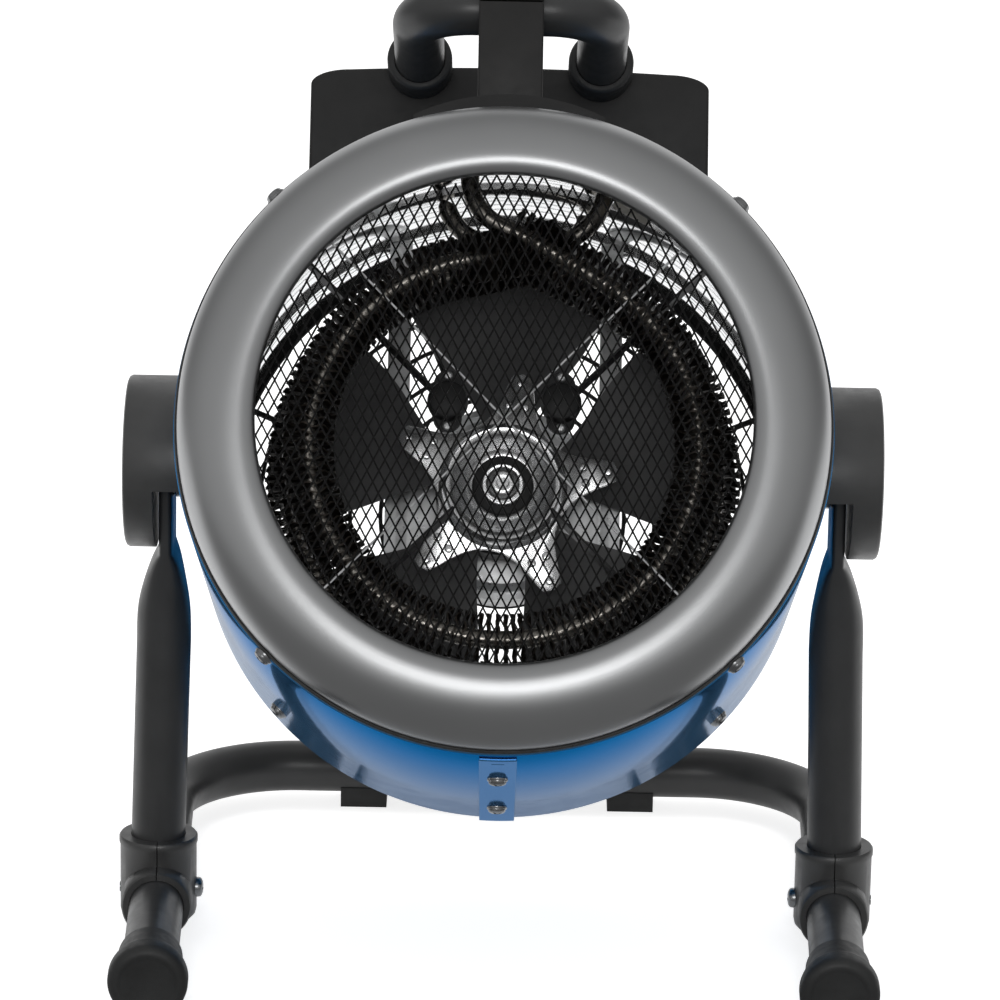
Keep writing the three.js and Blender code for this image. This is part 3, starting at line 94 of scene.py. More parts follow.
class Nodes:
    """A node tree with short ways to add and link nodes."""

    def __init__(self, owner):
        owner.use_nodes = True
        self.mat = owner
        self.tree = owner.node_tree
        self.bsdf = self.tree.nodes.get("Principled BSDF")

    def add(self, kind, **props):
        node = self.tree.nodes.new("ShaderNode" + kind)
        for key, value in props.items():
            setattr(node, key, value)
        return node

    def link(self, a, b):
        self.tree.links.new(a, b)

    def coords(self, kind="Object", scale=(1, 1, 1)):
        coord = self.add("TexCoord")
        mapping = self.add("Mapping")
        mapping.inputs["Scale"].default_value = scale
        self.link(coord.outputs[kind], mapping.inputs["Vector"])
        return mapping.outputs["Vector"]

    def noise(self, where, scale, detail=4.0, rough=0.55):
        noise = self.add("TexNoise")
        noise.inputs["Scale"].default_value = scale
        noise.inputs["Detail"].default_value = detail
        noise.inputs["Roughness"].default_value = rough
        self.link(where, noise.inputs["Vector"])
        return noise.outputs["Fac"]

    def spread(self, value, low, high, lo=0.3, hi=0.7, kind="LINEAR"):
        ranged = self.add("MapRange", interpolation_type=kind)
        for key, number in (("From Min", lo), ("From Max", hi), ("To Min", low), ("To Max", high)):
            ranged.inputs[key].default_value = number
        self.link(value, ranged.inputs["Value"])
        return ranged.outputs["Result"]

    def ease(self, value, lo, hi, low, high):
        return self.spread(value, low, high, lo, hi, "SMOOTHSTEP")

    def math(self, operation, *values):
        node = self.add("Math", operation=operation)
        for socket, value in zip(node.inputs, values):
            if isinstance(value, float):
                socket.default_value = value
            else:
                self.link(value, socket)
        return node.outputs[0]

    def mix(self, kind, fac, a, b):
        node = self.add(kind)
        for socket, value in zip(node.inputs, (fac, a, b) if fac else (a, b)):
            self.link(value, socket)
        return node.outputs[0]

    def blend(self, fac, a, b):
        mix = self.add("Mix", data_type="RGBA")
        self.link(fac, mix.inputs["Factor"])
        mix.inputs["A"].default_value = (*a, 1)
        mix.inputs["B"].default_value = (*b, 1)
        return mix.outputs["Result"]

    def bump(self, height, strength, distance=0.0002, normal=None):
        bump = self.add("Bump")
        bump.inputs["Strength"].default_value = strength
        bump.inputs["Distance"].default_value = distance
        self.link(height, bump.inputs["Height"])
        if normal:
            self.link(normal, bump.inputs["Normal"])
        return bump.outputs["Normal"]


def shade(color, factor):
    return tuple(min(1.0, c * factor) for c in color)


def surface(name, color, rough, metal=0.0, vary=0.12, vary_scale=60, rough_vary=0.06, grain=0.15,
        grain_scale=900, grain_depth=0.0002, coat=0.0, coat_rough=0.05, specular=0.5, edge=None,
        rim_metal=None, brushed=None, brush_depth=0.08):
    """Drifting colour and gloss with a fine grain; brushed draws the grain out along a UV direction."""
    n = Nodes(bpy.data.materials.new(name))
    here = n.coords()
    drift = n.noise(here, vary_scale)
    n.link(n.blend(n.spread(drift, 0, 1), shade(color, 1 - vary), shade(color, 1 + vary)),
        n.bsdf.inputs["Base Color"])
    gloss = n.noise(here, vary_scale * 3.3, detail=6)
    normal = n.bump(n.noise(here, grain_scale, detail=3), grain, grain_depth)
    if brushed:
        lines = n.noise(n.coords("UV", brushed), 1.0, detail=5, rough=0.7)
        normal = n.bump(lines, brush_depth, grain_depth, normal)
        gloss = lines
    n.link(n.spread(gloss, max(0.02, rough - rough_vary), rough + rough_vary), n.bsdf.inputs["Roughness"])
    n.link(normal, n.bsdf.inputs["Normal"])
    n.bsdf.inputs["Metallic"].default_value = metal
    if rim_metal is not None:
        facing = n.add("LayerWeight").outputs["Facing"]
        n.link(n.spread(facing, metal, rim_metal, 0.84, 0.96), n.bsdf.inputs["Metallic"])
    n.bsdf.inputs["Specular IOR Level"].default_value = specular
    if edge:
        n.bsdf.inputs["Specular Tint"].default_value = (*edge, 1)
    n.bsdf.inputs["Coat Weight"].default_value = coat
    n.bsdf.inputs["Coat Roughness"].default_value = coat_rough
    return n.mat


BLUE = surface("blue_paint", (0.072, 0.225, 0.435), 0.07, metal=0.90, vary=0.04, vary_scale=25,
    rough_vary=0.02, grain=0.02, grain_scale=300, specular=0.0, edge=(0.175, 0.40, 0.72), rim_metal=0.55)
BEZEL = surface("bezel_satin", (0.41, 0.415, 0.42), 0.33, metal=1.0, vary=0.04, vary_scale=16,
    rough_vary=0.03, grain=0.04, grain_scale=2600, brushed=(6, 520, 1), brush_depth=0.035)
LINER = surface("liner_bright", (0.86, 0.87, 0.88), 0.10, metal=1.0, vary=0.04, vary_scale=18,
    rough_vary=0.04, grain=0.015, brushed=(70, 14, 1), brush_depth=0.03)
SPIDER = surface("pressed_bright", (0.86, 0.865, 0.87), 0.24, metal=1.0, vary=0.05, vary_scale=70,
    rough_vary=0.05, grain=0.03, grain_scale=1400)
GALVANISED = surface("galvanised", (0.62, 0.625, 0.63), 0.33, metal=0.85, vary=0.12, vary_scale=120,
    rough_vary=0.08, grain=0.05, grain_scale=1300)
ZINC = surface("zinc_plate", (0.27, 0.275, 0.28), 0.24, metal=1.0, vary=0.16, vary_scale=260, rough_vary=0.08,
    grain=0.07, grain_scale=2400)
TUBE = surface("tube_powder_coat", (0.0345, 0.0351, 0.0357), 0.36, vary=0.14, vary_scale=45, rough_vary=0.05,
    grain=0.14, grain_scale=1500, specular=0.5)
PLASTIC = surface("moulded_plastic", (0.0130, 0.0127, 0.0125), 0.45, vary=0.16, vary_scale=70,
    rough_vary=0.07, grain=0.30, grain_scale=2600, grain_depth=0.00015, specular=0.36)
# A lighter copy of the black moulded plastic for the hinge housings and tees: painted light, standing in for
# the brighter light that falls on them.
LIGHTENED_FRAME_PLASTIC = surface("frame_plastic_painted_lighter", (0.0420, 0.0420, 0.0416), 0.36, vary=0.14, vary_scale=70,
    rough_vary=0.06, grain=0.28, grain_scale=2600, grain_depth=0.00015, specular=0.62)
# The blades are black enamel, but this base is a mid grey: painted light standing in for the dim light that
# reaches them through the grille.
LIGHTENED_BLADE = surface("blade_enamel_painted_lighter", (0.105, 0.105, 0.106), 0.5, vary=0.15, vary_scale=50, rough_vary=0.08,
    grain=0.10, grain_scale=1200, specular=0.6)
RUBBER = surface("cap_rubber", (0.0220, 0.0225, 0.0226), 0.5, vary=0.2, vary_scale=80, rough_vary=0.08,
    grain=0.25, grain_scale=1900, specular=0.36)
BLACK = surface("black_enamel", (0.0105, 0.0105, 0.0110), 0.48, vary=0.2, vary_scale=50, rough_vary=0.08,
    grain=0.10, grain_scale=1200, specular=0.35)
MESH_BLACK = surface("mesh_black", (0.0035, 0.0035, 0.0035), 0.5, vary=0.2, vary_scale=90, grain=0.1,
    specular=0.18)
SHEATH = surface("element_sheath", (0.34, 0.32, 0.29), 0.28, metal=1.0, vary=0.35, vary_scale=120,
    rough_vary=0.12, grain=0.1)
FIN = surface("element_fin", (0.030, 0.024, 0.019), 0.42, metal=0.6, vary=0.5, vary_scale=60, rough_vary=0.12,
    grain=0.15)
CERAMIC = surface("ceramic", (0.78, 0.75, 0.68), 0.55, vary=0.06, vary_scale=110, grain=0.3, grain_scale=1800)
RED_LENS = surface("lamp_lens", (0.62, 0.05, 0.02), 0.12, vary=0.12, vary_scale=300, coat=0.6, grain=0.02)
RED_PLASTIC = surface("button_plastic", (0.42, 0.03, 0.02), 0.38, vary=0.1, vary_scale=200, grain=0.2)
MARK = surface("dial_mark", (0.62, 0.62, 0.6), 0.5, vary=0.06, vary_scale=200, grain=0.1)

# ---------------------------------------------------------------- mesh tools


def new_object(name, verts, faces, uvs=None):
    mesh = bpy.data.meshes.new(name)
    mesh.from_pydata([tuple(v) for v in verts], [], faces)
    if uvs:
        layer = mesh.uv_layers.new(name="UVMap")
        flat = [uv for face in uvs for uv in face]
        for i, uv in enumerate(flat):
            layer.data[i].uv = uv
    mesh.validate()
    obj = bpy.data.objects.new(name, mesh)
    bpy.context.scene.collection.objects.link(obj)
    return obj


def outward(obj):
    bm = bmesh.new()
    bm.from_mesh(obj.data)
    bmesh.ops.recalc_face_normals(bm, faces=bm.faces)
    bm.to_mesh(obj.data)
    bm.free()
    return obj


def settle(obj):
    """Applies the modifiers to the mesh."""
    graph = bpy.context.evaluated_depsgraph_get()
    done = bpy.data.meshes.new_from_object(obj.evaluated_get(graph))
    old = obj.data
    obj.modifiers.clear()
    obj.data = done
    bpy.data.meshes.remove(old)
    return obj


def combine(obj, others, operation="DIFFERENCE"):
    outward(obj)
    for other in others:
        outward(other)
        mod = obj.modifiers.new("cut", "BOOLEAN")
        mod.operation = operation
        mod.solver = "EXACT"
        mod.object = other
        settle(obj)
        bpy.data.objects.remove(other)
    return obj


def soften(obj, width, segments=2, angle=32):
    mod = obj.modifiers.new("edge", "BEVEL")
    mod.width = width
    mod.segments = segments
    mod.limit_method = "ANGLE"
    mod.angle_limit = math.radians(angle)
    mod.use_clamp_overlap = True
    return settle(obj)


def finish_piece(obj, place, body, mat, replaced=(), angle=35):
    """Moves a millimetre mesh to its place in metres, shades it and hangs it on its body."""
    outward(obj)
    obj.data.transform(place)
    for poly in obj.data.polygons:
        poly.use_smooth = True
    obj.data.set_sharp_from_angle(angle=math.radians(angle))
    obj.data.materials.clear()
    obj.data.materials.append(mat)
    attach(obj, body)
    if replaced:
        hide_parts(*replaced)
    return obj


def on_drum(obj, mat, replaced=(), angle=35):
    return finish_piece(obj, DRUM, "drum", mat, replaced, angle)


def merge(name, objs):
    """One object from several, without a boolean."""
    bm = bmesh.new()
    for obj in objs:
        bm.from_mesh(obj.data)
        bpy.data.objects.remove(obj)
    mesh = bpy.data.meshes.new(name)
    bm.to_mesh(mesh)
    bm.free()
    obj = bpy.data.objects.new(name, mesh)
    bpy.context.scene.collection.objects.link(obj)
    return obj


def lathe(name, profile, segments):
    """Turned about the Y axis from (radius, y) pairs: a loop, or a line that starts and ends on the axis."""
    closed = profile[0][0] > 0
    verts, faces, uvs, rows = [], [], [], []
    run, last = 0.0, None
    lengths = []
    for r, y in profile:
        if last is not None:
            run += math.hypot(r - last[0], y - last[1])
        last = (r, y)
        lengths.append(run / 100)
        if r < 1e-6:
            rows.append([len(verts)])
            verts.append((0, y, 0))
        else:
            rows.append(list(range(len(verts), len(verts) + segments)))
            for k in range(segments):
                a = TURN * k / segments
                verts.append(polar(r, a, y))
    bands = len(rows) if closed else len(rows) - 1
    for i in range(bands):
        a, b = rows[i], rows[(i + 1) % len(rows)]
        va, vb = lengths[i], lengths[(i + 1) % len(rows)]
        for k in range(segments):
            m = (k + 1) % segments
            ua, ub = k / segments, (k + 1) / segments
            if len(a) > 1 and len(b) > 1:
                faces.append((a[k], a[m], b[m], b[k]))
                uvs.append([(ua, va), (ub, va), (ub, vb), (ua, vb)])
            elif len(a) > 1:
                faces.append((a[k], a[m], b[0]))
                uvs.append([(ua, va), (ub, va), (ua, vb)])
            elif len(b) > 1:
                faces.append((a[0], b[m], b[k]))
                uvs.append([(ua, va), (ub, vb), (ua, vb)])
    return new_object(name, verts, faces, uvs)


def rod(name, radius, y0, y1, segments=48):
    return lathe(name, [(0, y0), (radius, y0), (radius, y1), (0, y1)], segments)


def box(name, x0, x1, y0, y1, z0, z1):
    xs, ys, zs = (x0, x1), (y0, y1), (z0, z1)
    verts = [(x, y, z) for x in xs for y in ys for z in zs]
    faces = [(0, 1, 3, 2), (4, 6, 7, 5), (0, 4, 5, 1), (2, 3, 7, 6), (0, 2, 6, 4), (1, 5, 7, 3)]
    return new_object(name, verts, faces)


def prism(name, outline, y0, y1):
    """An (x, z) outline pushed along Y."""
    n = len(outline)
    verts = [(x, y0, z) for x, z in outline] + [(x, y1, z) for x, z in outline]
    faces = [tuple(range(n)), tuple(range(2 * n - 1, n - 1, -1))]
    faces += [(i, i + n, (i + 1) % n + n, (i + 1) % n) for i in range(n)]
    return new_object(name, verts, faces)


def turn(obj, matrix):
    obj.data.transform(matrix)
    return obj


def moved(obj, x, y, z):
    return turn(obj, Matrix.Translation((x, y, z)))


def spun(obj, angle, axis="Y"):
    return turn(obj, Matrix.Rotation(angle, 4, axis))


def outboard(sign):
    """Lays the Y axis along X, towards one side."""
    return Matrix.Rotation(-sign * math.pi / 2, 4, "Z")


ALONG_X = outboard(1)
ALONG_Z = Matrix.Rotation(math.pi / 2, 4, "X")


def smooth_path(points, step):
    """A Catmull-Rom curve through the points, cut at about equal steps."""
    pts = [Vector(p) for p in points]
    pts = [2 * pts[0] - pts[1]] + pts + [2 * pts[-1] - pts[-2]]
    out = []
    for i in range(1, len(pts) - 2):
        a, b, c, d = pts[i - 1:i + 3]
        count = max(2, int((c - b).length / step))
        for k in range(count):
            t = k / count
            bend, twist = 2 * a - 5 * b + 4 * c - d, 3 * b - a - 3 * c + d
            out.append(0.5 * ((2 * b) + (c - a) * t + bend * t ** 2 + twist * t ** 3))
    out.append(pts[-2])
    return out


def rounded(corners, radius, steps):
    """A polyline whose corners are arcs."""
    pts = [Vector(c) for c in corners]
    out = [pts[0]]
    for i in range(1, len(pts) - 1):
        back, on = (pts[i - 1] - pts[i]).normalized(), (pts[i + 1] - pts[i]).normalized()
        half = back.angle(on) / 2
        centre = pts[i] + (back + on).normalized() * radius / math.sin(half)
        a = pts[i] + back * radius / math.tan(half) - centre
        b = pts[i] + on * radius / math.tan(half) - centre
        sweep = a.angle(b)
        for s in range(steps + 1):
            w = s / steps
            spoke = a * math.sin((1 - w) * sweep) + b * math.sin(w * sweep)
            out.append(centre + spoke / math.sin(sweep))
    out.append(pts[-1])
    return out


def sweep(name, path, section, cap=True, loop=False):
    """Carries rings along a path; section(i, share) gives the ring's (side, up) points."""
    pts = [Vector(p) for p in path]
    count = len(pts)
    tangents = []
    for i in range(count):
        a = pts[i - 1] if i or loop else pts[0]
        b = pts[(i + 1) % count] if i < count - 1 or loop else pts[-1]
        tangents.append((b - a).normalized())
    side = tangents[0].cross(Vector((0, 0, 1)))
    if side.length < 0.1:
        side = tangents[0].cross(Vector((0, 1, 0)))
    side.normalize()
    verts, faces, uvs, run = [], [], [], 0.0
    lengths = []
    for i in range(count):
        if i:
            run += (pts[i] - pts[i - 1]).length
        lengths.append(run / 100)
        side = (side - tangents[i] * side.dot(tangents[i])).normalized()
        up = side.cross(tangents[i]).normalized()
        ring = section(i, i / (count - 1))
        sides = len(ring)
        verts += [pts[i] + side * s + up * u for s, u in ring]
    for i in range(count if loop else count - 1):
        j = (i + 1) % count
        for k in range(sides):
            m = (k + 1) % sides
            faces.append((i * sides + k, i * sides + m, j * sides + m, j * sides + k))
            u0, u1, v0, v1 = k / sides, (k + 1) / sides, lengths[i], lengths[j]
            uvs.append([(u0, v0), (u1, v0), (u1, v1), (u0, v1)])
    if cap and not loop:
        faces.append(tuple(range(sides - 1, -1, -1)))
        uvs.append([(0, 0)] * sides)
        faces.append(tuple((count - 1) * sides + k for k in range(sides)))
        uvs.append([(0, 0)] * sides)
    return new_object(name, verts, faces, uvs)


def circle(radius, sides):
    return [(radius * math.cos(TURN * k / sides), radius * math.sin(TURN * k / sides)) for k in range(sides)]


def pipe(name, path, radius, sides=32):
    ring = circle(radius, sides)
    return sweep(name, path, lambda i, share: ring)


def arc(radius, a0, a1, steps):
    return [(radius * math.cos(a0 + (a1 - a0) * i / steps), radius * math.sin(a0 + (a1 - a0) * i / steps))
        for i in range(steps + 1)]


SIDES = (("left", -1), ("right", 1))

# ---------------------------------------------------------------- shell

def bezel():
    inner, crest, front, lip = 92.8, 100.0, -19.5, -15.0
    outer = BEZEL_R - 0.1
    points = []
    for i in range(13):
        a = i / 12 * math.pi / 2
        points.append((crest - (crest - inner) * math.cos(a), lip + (front - lip) * math.sin(a)))
    for i in range(1, 41):
        a = (1 - i / 40) * math.pi / 2
        points.append((crest + (outer - crest) * math.cos(a), front * math.sin(a)))
    groove = [(outer, 0.6), (outer - 0.45, 0.9), (outer - 0.45, 1.3), (outer, 1.6)]
    skirt = [(outer, 14.0), (outer - 1.2, 14.0)]
    inside = []
    for i in range(1, 21):
        a = i / 20 * math.pi / 2
        inside.append((crest + (outer - 1.2 - crest) * math.cos(a), (front + 1.2) * math.sin(a)))
    for i in range(9):
        a = (1 - i / 8) * math.pi / 2
        inside.append((crest - (crest - inner - 1.2) * math.cos(a), lip + (front + 1.2 - lip) * math.sin(a)))
    profile = along(points + groove + skirt + inside)
    ring = lathe("bezel_ring", profile, 220)
    on_drum(ring, BEZEL, ["front_bezel"], angle=60)


def casing():
    r, end = CASING_R, 194.8
    profile = [(r - SHEET, 4.6), (r - 0.5, 4.6), (r - 0.1, 4.9), (r, 5.6)]
    profile += [(r, end - 2.6), (r - 0.25, end - 1.4), (r - 0.8, end - 0.4), (r - 1.5, end),
        (r - 2.3, end - 0.4), (r - 2.6, end - 1.3), (r - 2.0, end - 2.2), (r - SHEET, end - 2.8)]
    shell = lathe("casing_sheet", along(profile), 220)
    holes = [turn(rod("hole", PIVOT_BORE, 100, 140, 32), outboard(sign)) for _, sign in SIDES]
    combine(shell, holes)
    on_drum(shell, BLUE, ["drum_casing"], angle=50)
    # A dark rubber band in the gap between bezel and casing: painted shade standing in for the shadow in that
    # gap.
    shadow_band = lathe("bezel_shadow_band", along([(123.0, 1.9), (123.6, 1.9), (123.9, 2.4), (123.9, 4.5), (123.0, 4.5)]),
        200)
    on_drum(shadow_band, RUBBER)


def seam_strap():
    half, r = 7.1 / CASING_R, CASING_R + 0.1
    down = -math.pi / 2
    inner = arc(r, down - half, down + half, 10)
    outer = arc(r + 1.2, down + half, down - half, 10)
    strip = prism("seam_strip", inner + outer, at(11.5), at(194.2))
    slot_tool = box("tool", -2.3, 2.3, at(19.4), at(20.6), -130, -120)
    combine(strip, [slot_tool])
    soften(strip, 0.3, 2)
    on_drum(strip, BLUE, ["seam_strap"], angle=10)


def mesh_front():
    """Expanded metal: slanted strands with a bond where they meet, inside a pressed rim."""
    pitch_x, pitch_z, width, thick = 4.4, 8.45, 0.60, 0.8
    radius, y = 94.0, at(-14.2)
    verts, faces = [], []

    def bar(x0, z0, x1, z1, w0, tilt):
        d = Vector((x1 - x0, z1 - z0)).normalized()
        nx, nz = -d.y * w0 / 2, d.x * w0 / 2
        base = len(verts)
        for x, z in ((x0, z0), (x1, z1)):
            verts.extend([(x + nx, y - tilt, z + nz), (x + nx, y + thick - tilt, z + nz),
                (x - nx, y + thick + tilt, z - nz), (x - nx, y + tilt, z - nz)])
        for k in range(4):
            m = (k + 1) % 4
            faces.append((base + k, base + m, base + 4 + m, base + 4 + k))
        faces.extend([(base + 3, base + 2, base + 1, base), (base + 4, base + 5, base + 6, base + 7)])

    cols, rows = int(radius / pitch_x * 2) + 2, int(radius / pitch_z * 2) + 2
    for j in range(-rows, rows + 1):
        for i in range(-cols, cols + 1):
            if (i + j) % 2:
                continue
            x, z = i * pitch_x / 2, j * pitch_z / 2
            for sx in (-1, 1):
                x1, z1 = x + sx * pitch_x / 2, z + pitch_z / 2
                if max(math.hypot(x, z), math.hypot(x1, z1)) < radius:
                    bar(x, z, x1, z1, width, 0.15 * sx)
            if math.hypot(x, z) < radius - 1:
                bar(x, z - 0.75, x, z + 0.75, width * 1.5, 0.0)
    net = new_object("expanded_mesh", verts, faces)
    rim = lathe("rim", [(93.2, y - 0.1), (102, y - 0.1), (102, y + 1.0), (93.2, y + 1.0)], 160)
    stays = []
    for angle in CORNERS[:2]:
        reach = Vector((math.sin(angle), 0, math.cos(angle))) * 97
        middle = Vector((0, y + 1.4, 0))
        stays.append(pipe("stay", [middle - reach, middle, middle + reach], 0.5, 10))
    wires = merge("mesh_stays", stays)
    on_drum(wires, GALVANISED)
    on_drum(merge("expanded_mesh", [net, rim]), MESH_BLACK, ["front_mesh"])


def heat_shield():
    """The polished liner: a front flange, two beads and a hem behind the fan."""
    flange, t0, t1 = 122.4, 14.4, 186.5
    inside, outside = SHIELD_R - 0.8, SHIELD_R
    beads = (52, 98, 158)
    bead = ((0, -3), (0.9, -1.2), (1.2, 0), (0.9, 1.2), (0, 3))
    profile = [(inside, t0 + 0.6), (inside + 0.6, t0), (flange, t0), (flange, t0 + 0.8), (outside, t0 + 0.8)]
    for middle in beads:
        profile += [(outside + r, middle + t) for r, t in bead]
    profile += [(outside, t1 - 1), (outside + 1.2, t1 - 0.6), (outside + 1.2, t1), (inside + 0.4, t1),
        (inside, t1 - 0.5)]
    for middle in reversed(beads):
        profile += [(inside + r, middle - t) for r, t in bead]
    shell = lathe("liner", along(profile), 200)
    on_drum(shell, LINER, ["heat_shield"], angle=50)


def rear_guard():
    """A spun band with a wire grille: rings welded on radial wires."""
    r, face = BEZEL_R, 192.2
    band = lathe("guard", along([(r, 143), (r, face - 2), (r - 0.6, face - 0.6), (r - 2, face),
        (r - 10, face), (r - 10, face - 1.2), (r - 1.2, face - 1.2), (r - 1.2, 143)]), 180)
    parts = [band]
    wire = circle(0.9, 10)
    for i in range(8):
        radius = 25.1 + i * 12.55
        path = [polar(radius, TURN * k / 96, at(face - 2.2)) for k in range(96)]
        parts.append(sweep("ring", path, lambda i, s: wire, loop=True))
    for k in range(8):
        a = TURN * (k + 0.5) / 8
        ends = [polar(q, a, at(face - 0.4)) for q in (16, 60, 115)]
        parts.append(pipe("spoke", ends, 1.25, 12))
    parts.append(lathe("boss", along([(0, face - 1), (14, face - 1), (17, face - 2), (17, face - 3.4),
        (0, face - 3.4)]), 64))
    on_drum(merge("rear_grille", parts), BLACK, ["rear_guard"])


# ---------------------------------------------------------------- screws

def screw_head(name, radius, height):
    """A domed head standing on y = 0 and rising along +Y, with a washer flange."""
    profile = [(0, -1.5), (radius, -1.5), (radius, 0.0), (radius * 0.97, height * 0.42)]
    for i in range(1, 9):
        a = i / 8 * math.pi / 2
        profile.append((radius * 0.95 * math.cos(a), height * (0.42 + 0.58 * math.sin(a))))
    profile[-1] = (0, height)
    head = lathe(name, profile, 36)
    tools = [box("tool", -w, w, height * 0.5, height + 1, -d, d) for w, d in ((radius * 0.12, radius * 0.62),
        (radius * 0.62, radius * 0.12))]
    combine(head, tools)
    return head


def washer(radius, thick=0.8):
    return lathe("washer", [(0, -0.3), (radius, -0.3), (radius, thick * 0.7), (radius * 0.96, thick),
        (0, thick)], 40)


def screws():
    down = math.pi
    spots = [(f"bezel_screw_{i + 1}", a, 7.0, CASING_R) for i, a in enumerate(CORNERS)]
    spots += [(f"guard_screw_{i + 1}", a, 149.0, CASING_R) for i, a in enumerate(CORNERS[1:3])]
    spots += [(f"seam_screw_{i + 1}", down, t, CASING_R + 1.3) for i, t in enumerate((62.0, 149.0))]
    spots += [("guard_screw_upper_1", CORNERS[0], 149.0, CASING_R), ("guard_screw_upper_2", CORNERS[3], 149.0,
        CASING_R)]
    for name, angle, depth, seat in spots:
        head = screw_head(name + "_head", 3.5, 2.0)
        both = merge(name + "_head", [moved(head, 0, 0.7, 0), washer(4.0, 0.8)])
        spin = Matrix.Rotation(angle * 3.7, 4, "Y")
        place = DRUM @ Matrix.Rotation(angle, 4, "Y") @ Matrix.Translation((0, at(depth),
            seat)) @ ALONG_Z @ spin
        replaced = [name] if name in NODES else []
        finish_piece(both, place, "drum", ZINC, replaced, angle=40)


# ---------------------------------------------------------------- heater and fan

def ring_path(radius, t, cold, tail):
    """The element's middle line: in from the cold end, round the ring and out behind it."""
    def spot(r, deg, depth=0.0):
        return polar(r, math.radians(deg), at(t + depth))

    points = [spot(113.5, cold), spot(radius + 26, cold - 0.5), spot(radius + 15, cold + 3),
        spot(radius + 7, cold + 14), spot(radius + 1.5, cold + 27)]
    start = cold + 38
    span = 360 + tail - 30 - start
    points += [spot(radius, start + span * k / 40) for k in range(41)]
    points += [spot(radius + 3, 360 + tail - 18, 6), spot(radius + 12, 360 + tail - 5, 11),
        spot(radius + 24, 360 + tail, 11), spot(113.5, 360 + tail, 11)]
    return smooth_path(points, 1.6)


def element(name, node, radius, t, cold, tail, fin_r=10.0):
    path = ring_path(radius, t, cold, tail)
    tube = pipe(name + "_sheath", path, 3.6, 18)
    on_drum(tube, SHEATH, [node], angle=60)
    verts, faces = [], []
    run, target, sides, thick = 0.0, 0.0, 48, 0.7
    first, last = 34, 30
    rings = (3.4, 5.6, 7.8, fin_r)
    total = sum((path[i + 1] - path[i]).length for i in range(len(path) - 1))
    index = 0
    for i in range(len(path) - 1):
        seg = path[i + 1] - path[i]
        length = seg.length
        while target <= run + length:
            here = path[i] + seg * ((target - run) / length)
            if first < target < total - last:
                forward = seg.normalized()
                side = forward.cross(Vector((0, 1, 0))).normalized()
                up = side.cross(forward)
                base = len(verts)
                lean = 0.3 * math.sin(index * 1.3)
                for off in (-thick / 2, thick / 2):
                    for r in rings:
                        crimp = (r - 3.4) / (fin_r - 3.4)
                        for k in range(sides):
                            a = TURN * k / sides + index * 0.6
                            wave = (0.75 * math.sin(8 * a) + lean) * crimp
                            verts.append(here + forward * (off + wave) + side * r * math.cos(a)
                                + up * r * math.sin(a))
                rows = len(rings)
                for k in range(sides):
                    m = (k + 1) % sides
                    for q in range(rows - 1):
                        a, b = base + q * sides, base + (rows + q) * sides
                        faces.append((a + k, a + m, a + sides + m, a + sides + k))
                        faces.append((b + k, b + sides + k, b + sides + m, b + m))
                    a, b = base + (rows - 1) * sides, base + (2 * rows - 1) * sides
                    faces.append((a + k, a + m, b + m, b + k))
                    a, b = base, base + rows * sides
                    faces.append((a + k, b + k, b + m, a + m))
                index += 1
            target += 3.3
        run += length
    fins = new_object(name + "_fins", verts, faces)
    on_drum(fins, FIN, angle=30)


def element_support():
    """Folded strips in a cross that hold both rings."""
    parts = []
    for angle in CORNERS:
        strip = box("strip", -0.45, 0.45, at(66), at(80), 27, 114.6)
        tabs = [box("tab", -0.6, 0.6, at(52.4), at(66.5), 69, 81), box("tab", -0.6, 0.6, at(79.5), at(93.6),
            78, 90)]
        arm = merge("arm", [strip] + tabs)
        parts.append(spun(arm, angle))
    on_drum(merge("cross_strips", parts), BLACK, ["element_support"])


def thermal_cutouts():
    for tag, sign in SIDES:
        seat = at(66) - 0.3
        can = lathe("can", [(0, seat - 7), (6.4, seat - 7), (7.2, seat - 6.6), (7.6, seat - 5),
            (8, seat - 2.4), (8, seat), (0, seat)], 48)
        oval = arc(5.6, 0, math.pi, 16)
        plate = prism("plate", [(x, z + 6.6) for x, z in oval] + [(-x, -z - 6.6) for x, z in oval],
            seat - 2.4, seat)
        part = merge("cutout", [can, plate])
        eyes = [turn(screw_head("eye", 1.9, 1.2), Matrix.Translation((0, seat - 2.5, h))
            @ Matrix.Rotation(math.pi, 4, "Z")) for h in (-10, 10)]
        place = Matrix.Translation((sign * 22, 0, 22))
        on_drum(turn(part, place), BLACK, [f"thermal_cutout_{tag}"])
        screws_pair = merge(f"cutout_screws_{tag}", eyes)
        on_drum(turn(screws_pair, place), GALVANISED)


